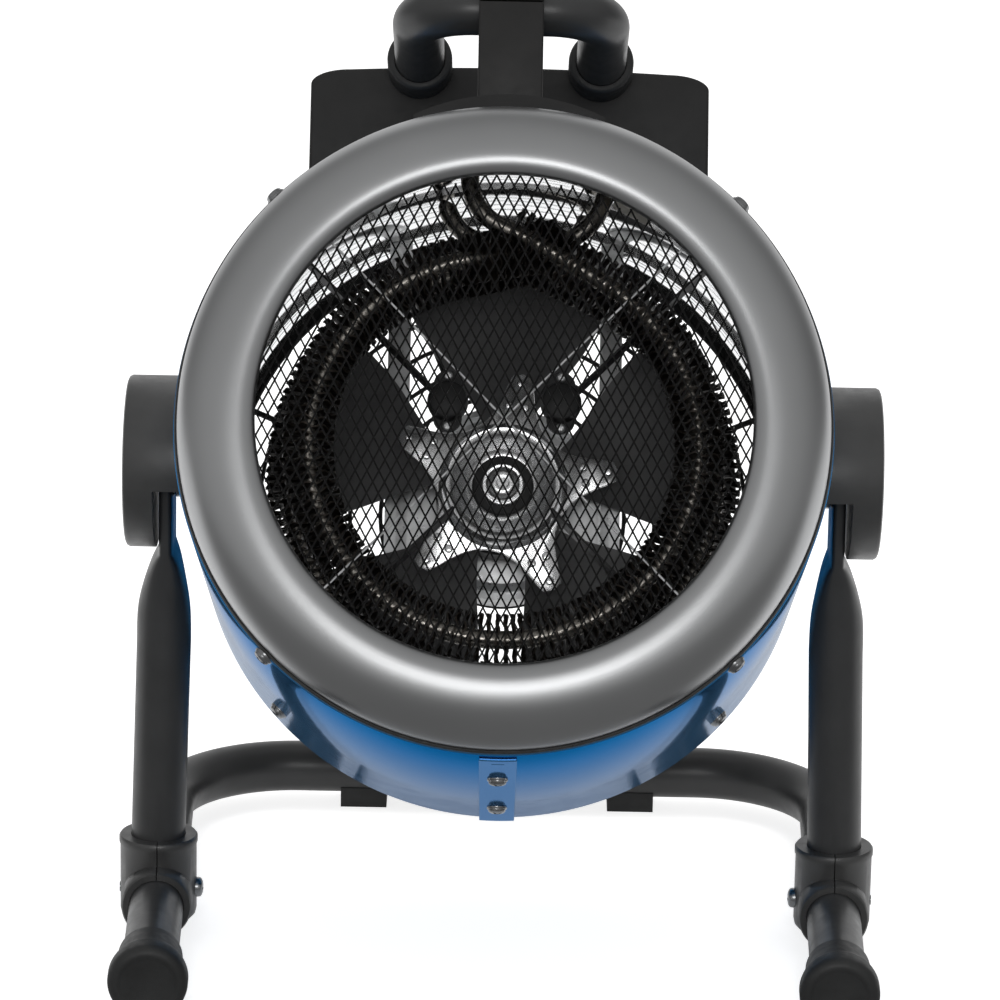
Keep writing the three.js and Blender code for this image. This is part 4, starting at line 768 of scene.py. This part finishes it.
def blade_mesh(angle):
    """A pressed blade with a rounded outline and a shallow camber."""
    hub, tip, mid = 24.0, 94.0, at(134)
    radial, chord = 14, 12
    verts, faces = [], []
    for side in (-0.7, 0.7):
        for i in range(radial + 1):
            w = i / radial
            r = hub + (tip - hub) * w
            spread = math.radians(15 + 13.5 * math.sin(min(1.0, w * 1.5) * math.pi / 2))
            trim = 1 - max(0.0, (w - 0.8) / 0.2) ** 2 * 0.3
            for j in range(chord + 1):
                c = 2 * j / chord - 1
                a = angle + c * spread * trim
                rise = c * 8.4 - 2.2 * (1 - c * c)
                verts.append(polar(r, a, mid + rise + side))
    rows = chord + 1
    half = (radial + 1) * rows
    for i in range(radial):
        for j in range(chord):
            a = i * rows + j
            faces.append((a, a + 1, a + rows + 1, a + rows))
            faces.append((half + a, half + a + rows, half + a + rows + 1, half + a + 1))
    last = radial * rows
    edge = [(i * rows, (i + 1) * rows) for i in range(radial)]
    edge += [((i + 1) * rows + chord, i * rows + chord) for i in range(radial)]
    edge += [(j + 1, j) for j in range(chord)]
    edge += [(last + j, last + j + 1) for j in range(chord)]
    faces += [(a, b, half + b, half + a) for a, b in edge]
    return outward(new_object("blade", verts, faces))


BLADE_ANGLES = [math.radians(72 * k) for k in range(5)]
ARM_OFFSET = math.radians(9)


def fan():
    blades = merge("fan_blades", [blade_mesh(a) for a in BLADE_ANGLES])
    finish_piece(blades, DRUM, "fan", LIGHTENED_BLADE, ["fan_wheel"], angle=50)
    outline = []
    for a in BLADE_ANGLES:
        for deg, r in ((-36, 26.4), (-29, 26.8), (-22, 28.4), (-15.5, 31.6), (-10.5, 36.5), (-7.4, 41.5),
                (-5.2, 45.6), (0, 46.8), (5.2, 45.6), (7.4, 41.5), (10.5, 36.5), (15.5, 31.6), (22, 28.4),
                (29, 26.8)):
            w = a + ARM_OFFSET + math.radians(deg)
            outline.append((r * math.sin(w), r * math.cos(w)))
    star = prism("star", outline, at(123.2), at(124.6))
    soften(star, 0.45, 2)
    parts = [star]
    for a in BLADE_ANGLES:
        for x, r in ((0, 42.5), (-3.2, 33), (3.2, 33)):
            rivet = lathe("rivet", along([(0, 122.2), (1.2, 122.4), (1.9, 123.4), (1.9, 125), (0, 125)]), 20)
            turn(rivet, Matrix.Rotation(a + ARM_OFFSET, 4, "Y") @ Matrix.Translation((x, 0, r)))
            parts.append(rivet)
    disc = lathe("disc", along([(0, 122.6), (12.6, 122.6), (15.5, 121.4), (18.6, 118.0), (20.6, 116.4),
        (22.6, 116.2), (24.0, 117.4), (24.5, 120.0), (24.9, 122.6), (26, 123.4), (26, 124.4), (0, 124.4)]),
        120)
    finish_piece(merge("fan_spider", parts + [disc]), DRUM, "fan", SPIDER, ["fan_hub_cap"],
        angle=40)
    # A black disc round the hub nut: painted shade standing in for the dark groove round the nut.
    groove_shade = lathe("hub_groove_shade", along([(0, 121.4), (11.5, 121.4), (12.2, 121.9), (12.2, 123), (0, 123)]), 72)
    finish_piece(groove_shade, DRUM, "fan", BLACK)
    dome = along([(0, 114.6), (2.2, 114.6), (2.2, 113.9), (3.2, 113.6), (5.4, 114.2), (7.4, 116),
        (8.4, 118.6), (8.6, 122), (0, 122)])
    nut = lathe("hub_nut", dome, 64)
    finish_piece(nut, DRUM, "fan", SPIDER, angle=40)
    hub = lathe("fan_boss", along([(4.3, 126), (24, 126), (27, 128), (27, 140), (22, 142), (4.3, 142)]), 96)
    finish_piece(hub, DRUM, "fan", BLACK)
    shaft = rod("motor_spindle", 4, at(121), at(155), 32)
    finish_piece(shaft, DRUM, "fan", ZINC, ["motor_shaft"])


def motor():
    front, rear = at(151.3), at(187)
    parts = [lathe("cover", [(5, front), (14, front), (16, front + 2), (34, front + 3), (37, front + 6),
        (37, front + 9), (5, front + 9)], 96)]
    profile = [(5, front + 9), (40, front + 9)]
    y = front + 9
    while y < rear - 12:
        profile += [(40, y + 0.7), (39.5, y + 0.8), (39.5, y + 1.2), (40, y + 1.3)]
        y += 1.6
    profile += [(40, rear - 11), (5, rear - 11)]
    parts.append(lathe("stack", profile, 64))
    parts.append(lathe("back", [(0, rear - 11), (36, rear - 11), (34, rear - 6), (28, rear), (10, rear),
        (9, rear - 1.5), (0, rear - 1.5)], 96))
    for k in range(4):
        a = TURN * (k + 0.5) / 4
        bolt = moved(screw_head("bolt", 3.2, 2.2), *polar(29, a, rear - 1.2))
        parts.append(bolt)
    on_drum(merge("motor_stack", parts), GALVANISED, ["motor_body"])
    bars = []
    for sign in (-1, 1):
        bar = box("bar", sign * 43 - 4.5, sign * 43 + 4.5, at(149), at(151), -106.5, 106.5)
        flange = box("bar", sign * 43 - 4.5, sign * 43 - 3.3, at(145), at(149.5), -106, 106)
        bars += [bar, flange]
    plate = box("plate", -43, 43, at(149), at(151), -22, 22)
    combine(plate, [rod("tool", 8, at(140), at(160))])
    on_drum(merge("motor_carrier", bars + [plate]), GALVANISED, ["motor_bracket"])


def terminal():
    cold = math.radians(27)
    block = box("block", -8, 8, at(32), at(52), 105, 113.8)
    soften(block, 1.0, 3)
    lugs = [turn(screw_head("lug", 2.4, 1.6), Matrix.Translation((x, at(32) - 0.2, 110))
        @ Matrix.Rotation(math.pi, 4, "Z")) for x in (-4.5, 4.5)]
    for lug in lugs:
        spun(lug, cold)
    on_drum(spun(block, cold), CERAMIC, ["terminal_block"])
    on_drum(merge("terminal_lugs", lugs), ZINC)


# ---------------------------------------------------------------- hinges

def slot_outline():
    half, far = 16.2, 54.0
    first, last = math.radians(60.65), math.radians(152.65)
    front = (-half * math.sin(first), half * math.cos(first))
    rear = (half * math.sin(last), -half * math.cos(last))
    points = arc(half, math.atan2(rear[1], rear[0]), math.atan2(front[1], front[0]), 24)
    points.append((front[0] - far * math.cos(first), front[1] - far * math.sin(first)))
    points.append((0, -far * 1.2))
    points.append((rear[0] - far * math.cos(last), rear[1] - far * math.sin(last)))
    return points


def hinge_housings():
    for tag, sign in SIDES:
        out = 146.8
        body = turn(lathe("housing", [(0, 108), (33.65, 108), (33.65, out - 1.6), (33.1, out - 0.5),
            (32, out), (27.5, out), (27.1, out - 0.4), (26.6, out - 0.4), (26.2, out), (0, out)], 120),
            ALONG_X)
        slot = turn(prism("tool", [(-y, z) for y, z in slot_outline()], 100, 135.2), ALONG_X)
        recess = turn(rod("tool", 8.3, out - 5, out + 3, 40), ALONG_X)
        bore = turn(rod("tool", PIVOT_BORE, 100, 160, 32), ALONG_X)
        seat = rod("tool", CASING_R + 0.15, -70, 70, 200)
        combine(body, [slot, recess, bore, seat])
        soften(body, 0.7, 2, 40)
        if sign < 0:
            turn(body, Matrix.Scale(-1, 4, (1, 0, 0)))
        on_drum(body, LIGHTENED_FRAME_PLASTIC, [f"hinge_housing_{tag}"])
        bolt = lathe("bolt", [(0, 117.6), (4, 117.6), (4, 142), (7.9, 142), (7.9, 142.8), (0, 142.8)], 48)
        flats = prism("flats", [(6.2 * math.cos(TURN * k / 6), 6.2 * math.sin(TURN * k / 6))
            for k in range(6)], 142.6, 146.0)
        soften(flats, 0.6, 2)
        whole = merge("bolt", [bolt, flats])
        turn(whole, outboard(sign))
        whole.name = f"pivot_hex_{tag}"
        on_drum(whole, ZINC, [f"pivot_bolt_{tag}"])
        ring = lathe("disc", [(4.3, 124.7), (13.2, 124.7), (14, 125.5), (14, 127.4), (13.2, 128.2),
            (4.3, 128.2)], 64)
        turn(ring, outboard(sign))
        ring.name = f"friction_disc_{tag}"
        on_drum(ring, ZINC, [f"friction_washer_{tag}"])


# ---------------------------------------------------------------- stand

TEE_X, TEE_Y, TOE = 134.6, -6.85, 0.03


def arm_x(y):
    return TEE_X + TOE * (y - TEE_Y)


def base_tube():
    front, rear = -109.0, 143.9
    corners = [(-arm_x(front), front, BASE_H), (-arm_x(rear), rear, BASE_H), (arm_x(rear), rear, BASE_H),
        (arm_x(front), front, BASE_H)]
    path = rounded(corners, 53, 40)
    finish_piece(pipe("base_bend", path, TUBE_R, 64), STAND, "stand", TUBE, ["base_tube"],
        angle=60)


def leg(tag, sign):
    flat_end, round_start, collar, foot = -33.9, -72.0, BASE_H + 24.8, BASE_H + 11.0
    flat_x, round_x, half_w, half_t, radius = 131.3, 132.6, 15.5, 2.8, 10.7
    sides = 72
    rows = [half_w * math.sin(math.radians(a)) for a in (90, 86, 80, 72, 62, 50, 36, 20, 8)]
    rows += [0, -8, -16, -24, -30]
    rows += [flat_end + (round_start - flat_end) * k / 24 for k in range(25)]
    rows += [round_start + (collar - round_start) * k / 12 for k in range(1, 13)] + [foot]
    verts = []
    for z in rows:
        w = 1 - (1 - max(0.0, min(1.0, (flat_end - z) / (flat_end - round_start)))) ** 3
        lean = TEE_Y * min(z / collar, 1.0)
        if z < round_start:
            x = round_x + (TEE_X - round_x) * min((z - round_start) / (collar - round_start), 1.0)
        else:
            x = flat_x + (round_x - flat_x) * w
        wide = math.sqrt(max(half_w ** 2 - z ** 2, 0.05)) if z > 0 else half_w
        dish = 1 if z <= 0 else min(1.0, math.sqrt(max(0.0, 1 - (z / half_w) ** 6)) + 0.15)
        hx = (half_t * dish) * (1 - w) + radius * w
        hy = wide * (1 - w) + radius * w
        power = 5 * (1 - w) + 2 * w
        dent = 1.1 * math.exp(-((z + 52) / 9) ** 2) * (1 - abs(2 * w - 1))
        for k in range(sides):
            c, s = math.cos(TURN * k / sides), math.sin(TURN * k / sides)
            px = math.copysign(abs(c) ** (2 / power), c) * (hx - dent * abs(c))
            py = math.copysign(abs(s) ** (2 / power), s) * hy
            verts.append((sign * x + px, lean + py, z))
    faces = []
    for i in range(len(rows) - 1):
        for k in range(sides):
            m = (k + 1) % sides
            faces.append((i * sides + k, i * sides + m, (i + 1) * sides + m, (i + 1) * sides + k))
    faces.append(tuple(range(sides)))
    faces.append(tuple((len(rows) - 1) * sides + k for k in range(sides - 1, -1, -1)))
    tube = new_object(f"leg_tube_{tag}", verts, faces)
    outward(tube)
    eye = turn(rod("tool", PIVOT_BORE, 120, 142, 32), outboard(sign))
    combine(tube, [eye])
    finish_piece(tube, STAND, "stand", TUBE, [f"leg_{tag}"], angle=50)


def end_cap(tag, sign):
    bore, sleeve, r = 11.0, 12.5, 15.35
    profile = [(0, -4.0), (10.0, -4.0), (10.6, -4.25), (11.2, -4.7), (12.1, -4.85), (13.2, -4.55),
        (14.2, -3.8), (15.0, -2.6), (r, -1.0), (r, 4.2), (15.1, 5.6), (14.4, 6.9), (13.6, 7.7), (12.9, 8.1),
        (sleeve, 8.6), (sleeve, 24.4), (12.3, 24.9), (11.8, 25.0), (bore, 25.0), (bore, -0.3), (0, -0.3)]
    cap = lathe(f"cap_bulb_{tag}", profile, 96)
    place = STAND @ Matrix.Translation((sign * arm_x(-109), -109,
        BASE_H)) @ Matrix.Rotation(-sign * math.atan(TOE), 4, "Z")
    finish_piece(cap, place, "stand", RUBBER, [f"end_cap_{tag}"], angle=45)


def rear_foot(tag, sign):
    pad = box(f"foot_pad_{tag}", sign * 57 - 9.8, sign * 57 + 9.8, 143.9 - 8.5, 143.9 + 8.5, BASE_H - 15.35,
        BASE_H - 1.35)
    cradle = turn(rod("tool", 10.95, -30, 30, 64), Matrix.Translation((sign * 57, 143.9, BASE_H)) @ ALONG_X)
    combine(pad, [cradle])
    soften(pad, 1.2, 3)
    finish_piece(pad, STAND, "stand", RUBBER, [f"rear_foot_{tag}"])


def connector(tag, sign):
    """Two moulded half shells round the leg and the base tube, with a collar lip, and a clamp screw."""
    place = STAND @ Matrix.Translation((sign * TEE_X, TEE_Y,
        BASE_H)) @ Matrix.Rotation(-sign * math.atan(TOE), 4, "Z")
    for half, label in ((1, "outer"), (-1, "inner")):
        socket = turn(lathe("socket", [(0, -11.6), (13.4, -11.6), (14.7, -10.2), (15.2, -8), (15.2, 19.0),
            (15.6, 19.8), (15.6, 22.0), (15.0, 22.8), (0, 22.8)], 96), ALONG_Z)
        sleeve = lathe("sleeve", [(0, -23), (13.2, -23), (13.8, -22.2), (13.8, 22.2), (13.2, 23), (0, 23)],
            80)
        combine(socket, [sleeve], "UNION")
        tools = [turn(rod("tool", 10.9, 0, 40, 64), ALONG_Z), rod("tool", 10.9, -60, 60, 64)]
        combine(socket, tools)
        side = sign * half
        keep = box("tool", 0.2, 60, -60, 60, -60, 60) if side > 0 else box("tool", -60, -0.2, -60, 60, -60,
            60)
        combine(socket, [keep], "INTERSECT")
        soften(socket, 0.55, 2, 38)
        socket.name = f"tee_shell_{label}_{tag}"
        finish_piece(socket, place, "stand", LIGHTENED_FRAME_PLASTIC, [f"tee_{label}_{tag}"], angle=40)
    head = merge(f"tee_clamp_screw_{tag}", [screw_head("head", 4.0, 2.4), rod("shank", 2, -31, -0.5, 20)])
    inward = Matrix.Translation((-sign * (15.2 + 0.3), 0, 0)) @ Matrix.Rotation(sign * math.pi / 2, 4, "Z")
    finish_piece(head, place @ inward, "stand", ZINC, [f"tee_screw_{tag}"])


# ---------------------------------------------------------------- handle

HANDLE_H, HANDLE_T, HANDLE_X = 171.2, 34.0, 36.5


def handle():
    rear = 120 - 0.3 - 3 - 0.3
    corners = [(-HANDLE_X, at(rear), HANDLE_H), (-HANDLE_X, at(HANDLE_T), HANDLE_H),
        (HANDLE_X, at(HANDLE_T), HANDLE_H), (HANDLE_X, at(rear), HANDLE_H)]
    path = rounded(corners, 22, 30)
    on_drum(pipe("grip_bend", path, GRIP_R, 56), TUBE, ["handle_tube"], angle=60)
    for tag, sign in SIDES:
        back = 119.7
        profile = [(10.3, back - 15), (11.6, back - 15), (12.6, back - 14.5), (13.1, back - 13.4),
            (13.1, back - 1.2), (12.7, back - 0.3), (12.0, back), (0, back), (0, back - 3), (10.3, back - 3)]
        plug = lathe(f"grip_plug_{tag}", along(profile), 80)
        on_drum(moved(plug, sign * HANDLE_X, 0, HANDLE_H), RUBBER, [f"handle_plug_{tag}"], angle=45)
    mid = at(HANDLE_T)
    foot = CASING_R + 6.5 + 0.3

    def bore():
        return turn(rod("tool", 10.15, -40, 40, 64), Matrix.Translation((0, mid, HANDLE_H)) @ ALONG_X)

    post = box("post_block", -12.5, 12.5, mid - 13.5, mid + 13.5, foot, HANDLE_H - 0.15)
    combine(post, [bore()])
    soften(post, 1.6, 3)
    on_drum(post, PLASTIC, ["handle_post"])
    top, low = HANDLE_H + 16, HANDLE_H + 0.15
    outline = [(mid - 13.5, low), (mid + 13.5, low), (mid + 13.5, top - 8), (mid + 7.5, top),
        (mid - 7.5, top), (mid - 13.5, top - 8)]
    clamp = turn(prism("clamp_block", [(-y, z) for y, z in outline], -12.5, 12.5), ALONG_X)
    combine(clamp, [bore()])
    soften(clamp, 1.6, 3)
    on_drum(clamp, PLASTIC, ["handle_clamp"])
    seat = CASING_R + 0.1
    edge = math.asin(36.5 / seat)
    under = arc(seat, math.pi / 2 + edge, math.pi / 2 - edge, 40)
    edge_h = seat * math.cos(edge) + 3.4
    crown = CASING_R + 6.5
    rise = crown - edge_h
    crown_r = (36.5 ** 2 + rise ** 2) / (2 * rise)
    sweep_a = math.asin(36.5 / crown_r)
    over = [(x, z + crown - crown_r) for x, z in arc(crown_r, math.pi / 2 - sweep_a, math.pi / 2 + sweep_a,
        40)]
    saddle = prism("saddle_foot", under + over, mid - 24, mid + 24)
    pad = box("pad", -12.5, 12.5, mid - 13.5, mid + 13.5, crown - 3.4, crown)
    combine(saddle, [pad], "UNION")
    soften(saddle, 1.4, 3, 40)
    on_drum(saddle, PLASTIC, ["handle_saddle"])


# ---------------------------------------------------------------- control box

SELECTOR_AT, THERMOSTAT_AT, LAMP_AT, RESET_AT, GLAND_AT = (-47, 146), (0, 149), (34, 150), (60, 150), (60,
    123)
BOX_HALF, BOX_TOP, BOX_FRONT, BOX_REAR = 80.6, 172.3, 120.0, 187.0


def box_outline(inset):
    half = BOX_HALF - inset
    seat = CASING_R + 0.15 + inset
    edge = math.asin(half / seat)
    points = arc(seat, math.pi / 2 + edge, math.pi / 2 - edge, 60)
    corner = []
    for i in range(17):
        a = i / 16 * math.pi / 2
        corner.append((half - (16 - inset) * (1 - math.cos(a)),
            BOX_TOP - inset - 1.6 - (6.5 - inset) * (1 - math.sin(a))))
    x0, z0 = corner[-1]
    top = []
    for i in range(1, 24):
        x = x0 * (1 - 2 * i / 24)
        top.append((x, z0 + 1.6 * (1 - (x / x0) ** 2)))
    return points + corner + top + [(-x, z) for x, z in reversed(corner)]


def control_box():
    outer = prism("box_shell", box_outline(0), at(BOX_FRONT), at(BOX_REAR))
    soften(outer, 1.5, 3, 50)
    hollow = prism("tool", box_outline(2.4), at(BOX_FRONT + 2.4), at(BOX_REAR + 5))
    combine(outer, [hollow])
    on_drum(outer, PLASTIC, ["control_box"])
    panel = prism("panel_plate", box_outline(0), at(187.3), at(189.9))
    holes = [(*SELECTOR_AT, 3.3), (*THERMOSTAT_AT, 3.3), (*LAMP_AT, 5.3), (*RESET_AT, 5.3), (*GLAND_AT, 7.3)]
    combine(panel, [turn(rod("tool", r, at(180), at(200), 40), Matrix.Translation((x, 0, h)))
        for x, h, r in holes])
    soften(panel, 0.7, 2, 50)
    on_drum(panel, PLASTIC, ["control_panel"])
    for x, h in ((-70, 157), (70, 161), (-70, 116), (28, 131)):
        head = screw_head("head", 3.0, 1.6)
        head.name = f"panel_screw_{'l' if x < 0 else 'r'}{abs(x)}_{h}"
        finish_piece(head, DRUM @ Matrix.Translation((x, at(189.9), h)), "drum", ZINC)


def on_panel(obj, spot):
    return moved(obj, spot[0], 0, spot[1])


def dial(name, x, h, first, last, steps):
    """Raised marks round a knob, longer at each end of its travel."""
    marks = []
    for i in range(steps + 1):
        a = math.radians(first + (last - first) * i / steps)
        length = 4.0 if i in (0, steps) else 2.6
        mark = box("mark", -0.45, 0.45, at(189.7), at(190.15), 18.0, 18.0 + length)
        marks.append(turn(mark, Matrix.Translation((x, 0, h)) @ Matrix.Rotation(a, 4, "Y")))
    on_drum(merge(name, marks), MARK)


def knob(name, body, x, h):
    face = 190.2
    profile = [(0, 176.3), (3, 176.3), (3, face), (15.4, face), (16, face + 0.6), (16, face + 2.6),
        (15.4, face + 3.2), (13.4, face + 3.8), (12.9, face + 5), (12.4, face + 9.6), (11.7, face + 10.6),
        (10.5, face + 11), (0, face + 11)]
    base = lathe("knob", along(profile), 96)
    grip = box("grip", -3, 3, at(face + 1.5), at(face + 15), -11.5, 14.5)
    soften(grip, 1.3, 3)
    combine(base, [grip], "UNION")
    line = box("line", -0.5, 0.5, at(face + 14.7), at(face + 15.15), 3.0, 13.4)
    moved(base, x, 0, h)
    moved(line, x, 0, h)
    base.name = name + "_cap"
    line.name = name + "_pointer"
    finish_piece(base, DRUM, body, PLASTIC, [name])
    finish_piece(line, DRUM, body, MARK)


def controls():
    knob("selector_knob", "selector", *SELECTOR_AT)
    knob("thermostat_knob", "thermostat", *THERMOSTAT_AT)
    dial("selector_marks", *SELECTOR_AT, 0, -180, 3)
    dial("thermostat_marks", *THERMOSTAT_AT, 0, -270, 9)
    lamp = lathe("lamp_dome", along([(0, 178.3), (5, 178.3), (5, 190.2), (6.5, 190.2), (6.5, 190.7),
        (6.1, 191.2), (5.6, 191.4), (4.9, 192.4), (3.4, 193.4), (1.6, 193.9), (0, 194)]), 64)
    on_drum(on_panel(lamp, LAMP_AT), RED_LENS, ["power_lamp"])
    button = lathe("reset_cap", along([(0, 185), (7, 185), (7, 187), (5, 187), (5, 195.6), (4.6, 196.2),
        (3.8, 196.4), (2.4, 196.1), (0, 195.9)]), 56)
    finish_piece(on_panel(button, RESET_AT), DRUM, "reset", RED_PLASTIC, ["reset_button"])
    collar = lathe("reset_collar", along([(5.4, 189.8), (8, 189.8), (8, 190.9), (7.4, 191.6), (5.4, 191.6)]),
        56)
    on_drum(on_panel(collar, RESET_AT), PLASTIC)
    profile = [(4, 178.3), (7, 178.3), (7, 190.2), (10, 190.2), (10, 192), (9.2, 192.3), (9.2, 193.2),
        (10, 193.5), (10, 198), (9.6, 200.6), (8.4, 203), (6.4, 204.6), (5, 204.9), (4, 204.9)]
    gland = lathe("gland_nut", along(profile), 64)
    ribs = []
    for k in range(12):
        rib = box("rib", -0.7, 0.7, at(193.6), at(198.5), 9.6, 10.0)
        ribs.append(spun(rib, TURN * k / 12))
    whole = merge("gland_nut", [gland] + ribs)
    on_drum(on_panel(whole, GLAND_AT), PLASTIC, ["cable_gland"])


# ---------------------------------------------------------------- build

bezel()
casing()
seam_strap()
mesh_front()
heat_shield()
rear_guard()
screws()
element("coil_front", "element_front", 75, 42, -7.5, 20)
element("coil_rear", "element_rear", 84, 104, -12, 16)
element_support()
thermal_cutouts()
fan()
motor()
terminal()
hinge_housings()
base_tube()
for tag, sign in SIDES:
    leg(tag, sign)
    end_cap(tag, sign)
    rear_foot(tag, sign)
    connector(tag, sign)
handle()
control_box()
controls()

KEPT = {"selector_switch": PLASTIC, "thermostat_body": ZINC}
for node, mat in KEPT.items():
    NODES[node].data.materials.clear()
    NODES[node].data.materials.append(mat)

# ---------------------------------------------------------------- studio


FLOOR_GLOW, FRONT_GROUND, FILL = 0.78, 0.22, 0.55


def studio():
    n = Nodes(bpy.data.materials.new("floor_white"))
    n.bsdf.inputs["Roughness"].default_value = 0.9
    n.bsdf.inputs["Specular IOR Level"].default_value = 0.1
    drift = n.noise(n.coords(), 3)
    n.link(n.blend(n.spread(drift, 0, 1), (0.70, 0.70, 0.70), (0.72, 0.72, 0.72)),
        n.bsdf.inputs["Base Color"])
    path = n.add("LightPath").outputs
    split = n.add("SeparateXYZ")
    n.link(n.add("TexCoord").outputs["Object"], split.inputs[0])
    depth = split.outputs["Y"]
    glow = n.add("Emission")
    behind = n.math("MULTIPLY", path["Is Glossy Ray"], n.ease(depth, -0.12, 0.03, 0.0, 0.50))
    n.link(n.math("MULTIPLY_ADD", path["Is Camera Ray"], FLOOR_GLOW, behind), glow.inputs["Strength"])
    flag = n.add("Emission")
    flag.inputs["Strength"].default_value = FRONT_GROUND
    cover = n.math("MULTIPLY", path["Is Glossy Ray"], n.ease(depth, -0.17, -0.04, 1.0, 0.0))
    lit = n.mix("AddShader", None, n.bsdf.outputs[0], glow.outputs[0])
    n.link(n.mix("MixShader", cover, lit, flag.outputs[0]), n.tree.nodes["Material Output"].inputs["Surface"])
    floor = new_object("floor", [(-6, -6, 0), (6, -6, 0), (6, 6, 0), (-6, 6, 0)], [(0, 1, 2, 3)])
    floor.data.materials.append(n.mat)

    world = bpy.data.worlds.new("studio")
    bpy.context.scene.world = world
    w = Nodes(world)
    w.tree.nodes.clear()
    seen, mirrored, fill = w.add("Background"), w.add("Background"), w.add("Background")
    seen.inputs["Color"].default_value = fill.inputs["Color"].default_value = (1, 1, 1, 1)
    fill.inputs["Strength"].default_value = FILL
    split, toward = w.add("SeparateXYZ"), w.add("VectorMath", operation="DOT_PRODUCT")
    toward.inputs[1].default_value = Vector((-0.16, -0.88, 0.45)).normalized()
    for node in (split, toward):
        w.link(w.add("TexCoord").outputs["Generated"], node.inputs[0])
    back = w.ease(split.outputs["Y"], 0.35, 0.9, 0.0, 1.0)
    lobe = w.ease(toward.outputs["Value"], -0.75, 1.0, 0.20, 0.62)
    w.link(w.math("MAXIMUM", back, lobe), mirrored.inputs["Strength"])
    rays = w.add("LightPath").outputs
    direct = w.math("MAXIMUM", rays["Is Camera Ray"], rays["Is Transmission Ray"])
    around = w.mix("MixShader", rays["Is Glossy Ray"], fill.outputs[0], mirrored.outputs[0])
    w.link(w.mix("MixShader", direct, around, seen.outputs[0]), w.add("OutputWorld").inputs["Surface"])

    def lamp(name, place, aim, size, energy, mirrored=True):
        data = bpy.data.lights.new(name, "AREA")
        data.shape = "RECTANGLE"
        data.size, data.size_y = size
        data.energy = energy
        obj = bpy.data.objects.new(name, data)
        bpy.context.scene.collection.objects.link(obj)
        obj.visible_glossy = mirrored
        direction = Vector(aim) - Vector(place)
        obj.matrix_world = Matrix.Translation(place) @ direction.to_track_quat("-Z", "Y").to_matrix().to_4x4()

    lamp("front_softbox", (-0.03, -2.24, 1.02), (0, -0.1, 0.25), (0.95, 0.60), 8.2)
    lamp("top_softbox", (0.0, 0.2, 2.2), (0, 0, 0.2), (1.8, 1.2), 17, mirrored=False)


studio()
bpy.context.scene.view_settings.view_transform = "Standard"
